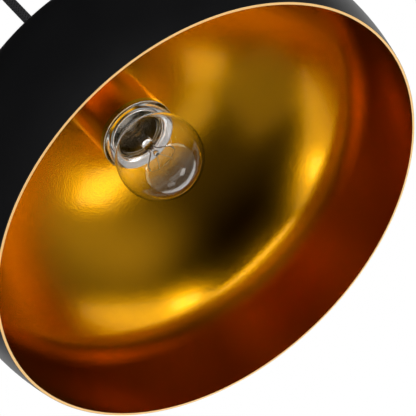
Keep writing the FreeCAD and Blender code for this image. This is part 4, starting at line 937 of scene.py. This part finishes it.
floor.visible_glossy = False
bpy.context.scene.collection.objects.link(floor)


shade_middle = Vector((0, 0, -0.28))


def soft_box(name, bearing, drop, wide, high, brightness, distance=2.4):
    """A flat lamp that faces the shade. It stands at a bearing from straight behind and a drop below
    the level, and fills wide by high of the view, all in degrees. Brightness is its own radiance, so
    its power is pi x brightness x area."""
    turn, fall = np.radians(bearing), np.radians(drop)
    toward = Vector((np.sin(turn) * np.cos(fall), np.cos(turn) * np.cos(fall), -np.sin(fall)))
    box = bpy.data.objects.new(name, bpy.data.lights.new(name, "AREA"))
    box.data.shape = "RECTANGLE"
    box.data.size = 2 * distance * np.tan(np.radians(wide / 2))
    box.data.size_y = 2 * distance * np.tan(np.radians(high / 2))
    box.data.energy = brightness * np.pi * box.data.size * box.data.size_y
    box.location = shade_middle + toward * distance
    box.rotation_mode = "QUATERNION"
    box.rotation_quaternion = toward.to_track_quat("Z", "Y")
    box.visible_camera = False
    bpy.context.scene.collection.objects.link(box)


soft_box("soft_box_right", 120, 24, 62, 17, 1.5)
soft_box("soft_box_right_middle", 138, 28, 12, 5, 6.0)
soft_box("soft_box_left", -113, 24, 66, 18, 1.2)
soft_box("soft_box_left_middle", -126, 25, 10, 5, 6.0)
soft_box("soft_box_in_front", 180, 17, 50, 10, 3.4)
soft_box("soft_box_behind", 0, 27, 80, 15, 2.0)
soft_box("soft_box_below", 0, 68, 40, 15, 0.75, 1.6)
soft_box("soft_box_below_right", 25, 60, 16, 11, 2.8, 1.8)
soft_box("soft_box_below_left", -33, 50, 16, 11, 1.15, 1.8)
soft_box("soft_box_low_left", -76, 46, 34, 34, 0.25, 1.8)

world = bpy.data.worlds.new("studio")
bpy.context.scene.world = world
world.use_nodes = True
world.node_tree.nodes.clear()
start = Wire(world.node_tree)
direction = start.node("ShaderNodeTexCoord", {}, {}, "Generated")
across, back, up = [direction.part(axis) for axis in range(3)]
# What metal and glass mirror: a white backdrop behind, a grey wall to the right and a dark one to the
# left, both darker higher up, and a dark room in front and above. The camera sees white all round,
# also through glass where it looks upwards. Dull surfaces are lit evenly.
left_grey, right_above_left, even_light = 0.05, 0.42, 0.55
backdrop = (back + up * 0.2).between(0.45, 0.70) * up.between(-0.64, -0.56)
side_walls = (across.between(0.05, 0.60) * right_above_left + left_grey) * back.between(-0.70, -0.20)
side_walls = side_walls * (1.0 - up.between(-0.85, -0.55) * 0.6)
mirrored = backdrop + (1.0 - backdrop) * side_walls
mirrored = mirrored * (1.0 - (up * 0.6 - back).between(0.0, 0.5) * 0.9)
camera_ray, glossy_ray, through_ray = [
    start.node("ShaderNodeLightPath", {}, {}, "Is " + kind + " Ray")
    for kind in ("Camera", "Glossy", "Transmission")]
plain = camera_ray.math("MAXIMUM", through_ray * up.between(-0.2, 0.2))
in_mirror = glossy_ray.math("MAXIMUM", through_ray)
other = (1.0 - in_mirror) * even_light + in_mirror * mirrored
strength = plain + (1.0 - plain) * other
background = start.node("ShaderNodeBackground", {}, {"Color": (1, 1, 1, 1), "Strength": strength})
start.node("ShaderNodeOutputWorld", {}, {"Surface": background})
bpy.context.scene.view_settings.view_transform = "Standard"

# Camera: it stands below the lamp, in front of it, and looks up into the shade. Its place, turn, lens
# and shift come from a fit to the rim's ellipse in the photograph.
camera = bpy.data.objects.new("camera", bpy.data.cameras.new("camera"))
bpy.context.scene.collection.objects.link(camera)
bpy.context.scene.camera = camera
camera.data.sensor_width = 36.0
camera.data.lens = 101.87
camera.data.shift_x = -0.0769
camera.data.shift_y = -0.1875
camera.data.clip_start = 0.01
camera_right = (0.71948, 0.43909, -0.53810)
camera_up = (0.69148, -0.52518, 0.49602)
camera_back = (-0.06480, -0.72896, -0.68148)
camera_place = (0.0, -0.41856, -0.70528)
camera.matrix_world = Matrix([
    [camera_right[row], camera_up[row], camera_back[row], camera_place[row]] for row in range(3)
] + [[0, 0, 0, 1]])
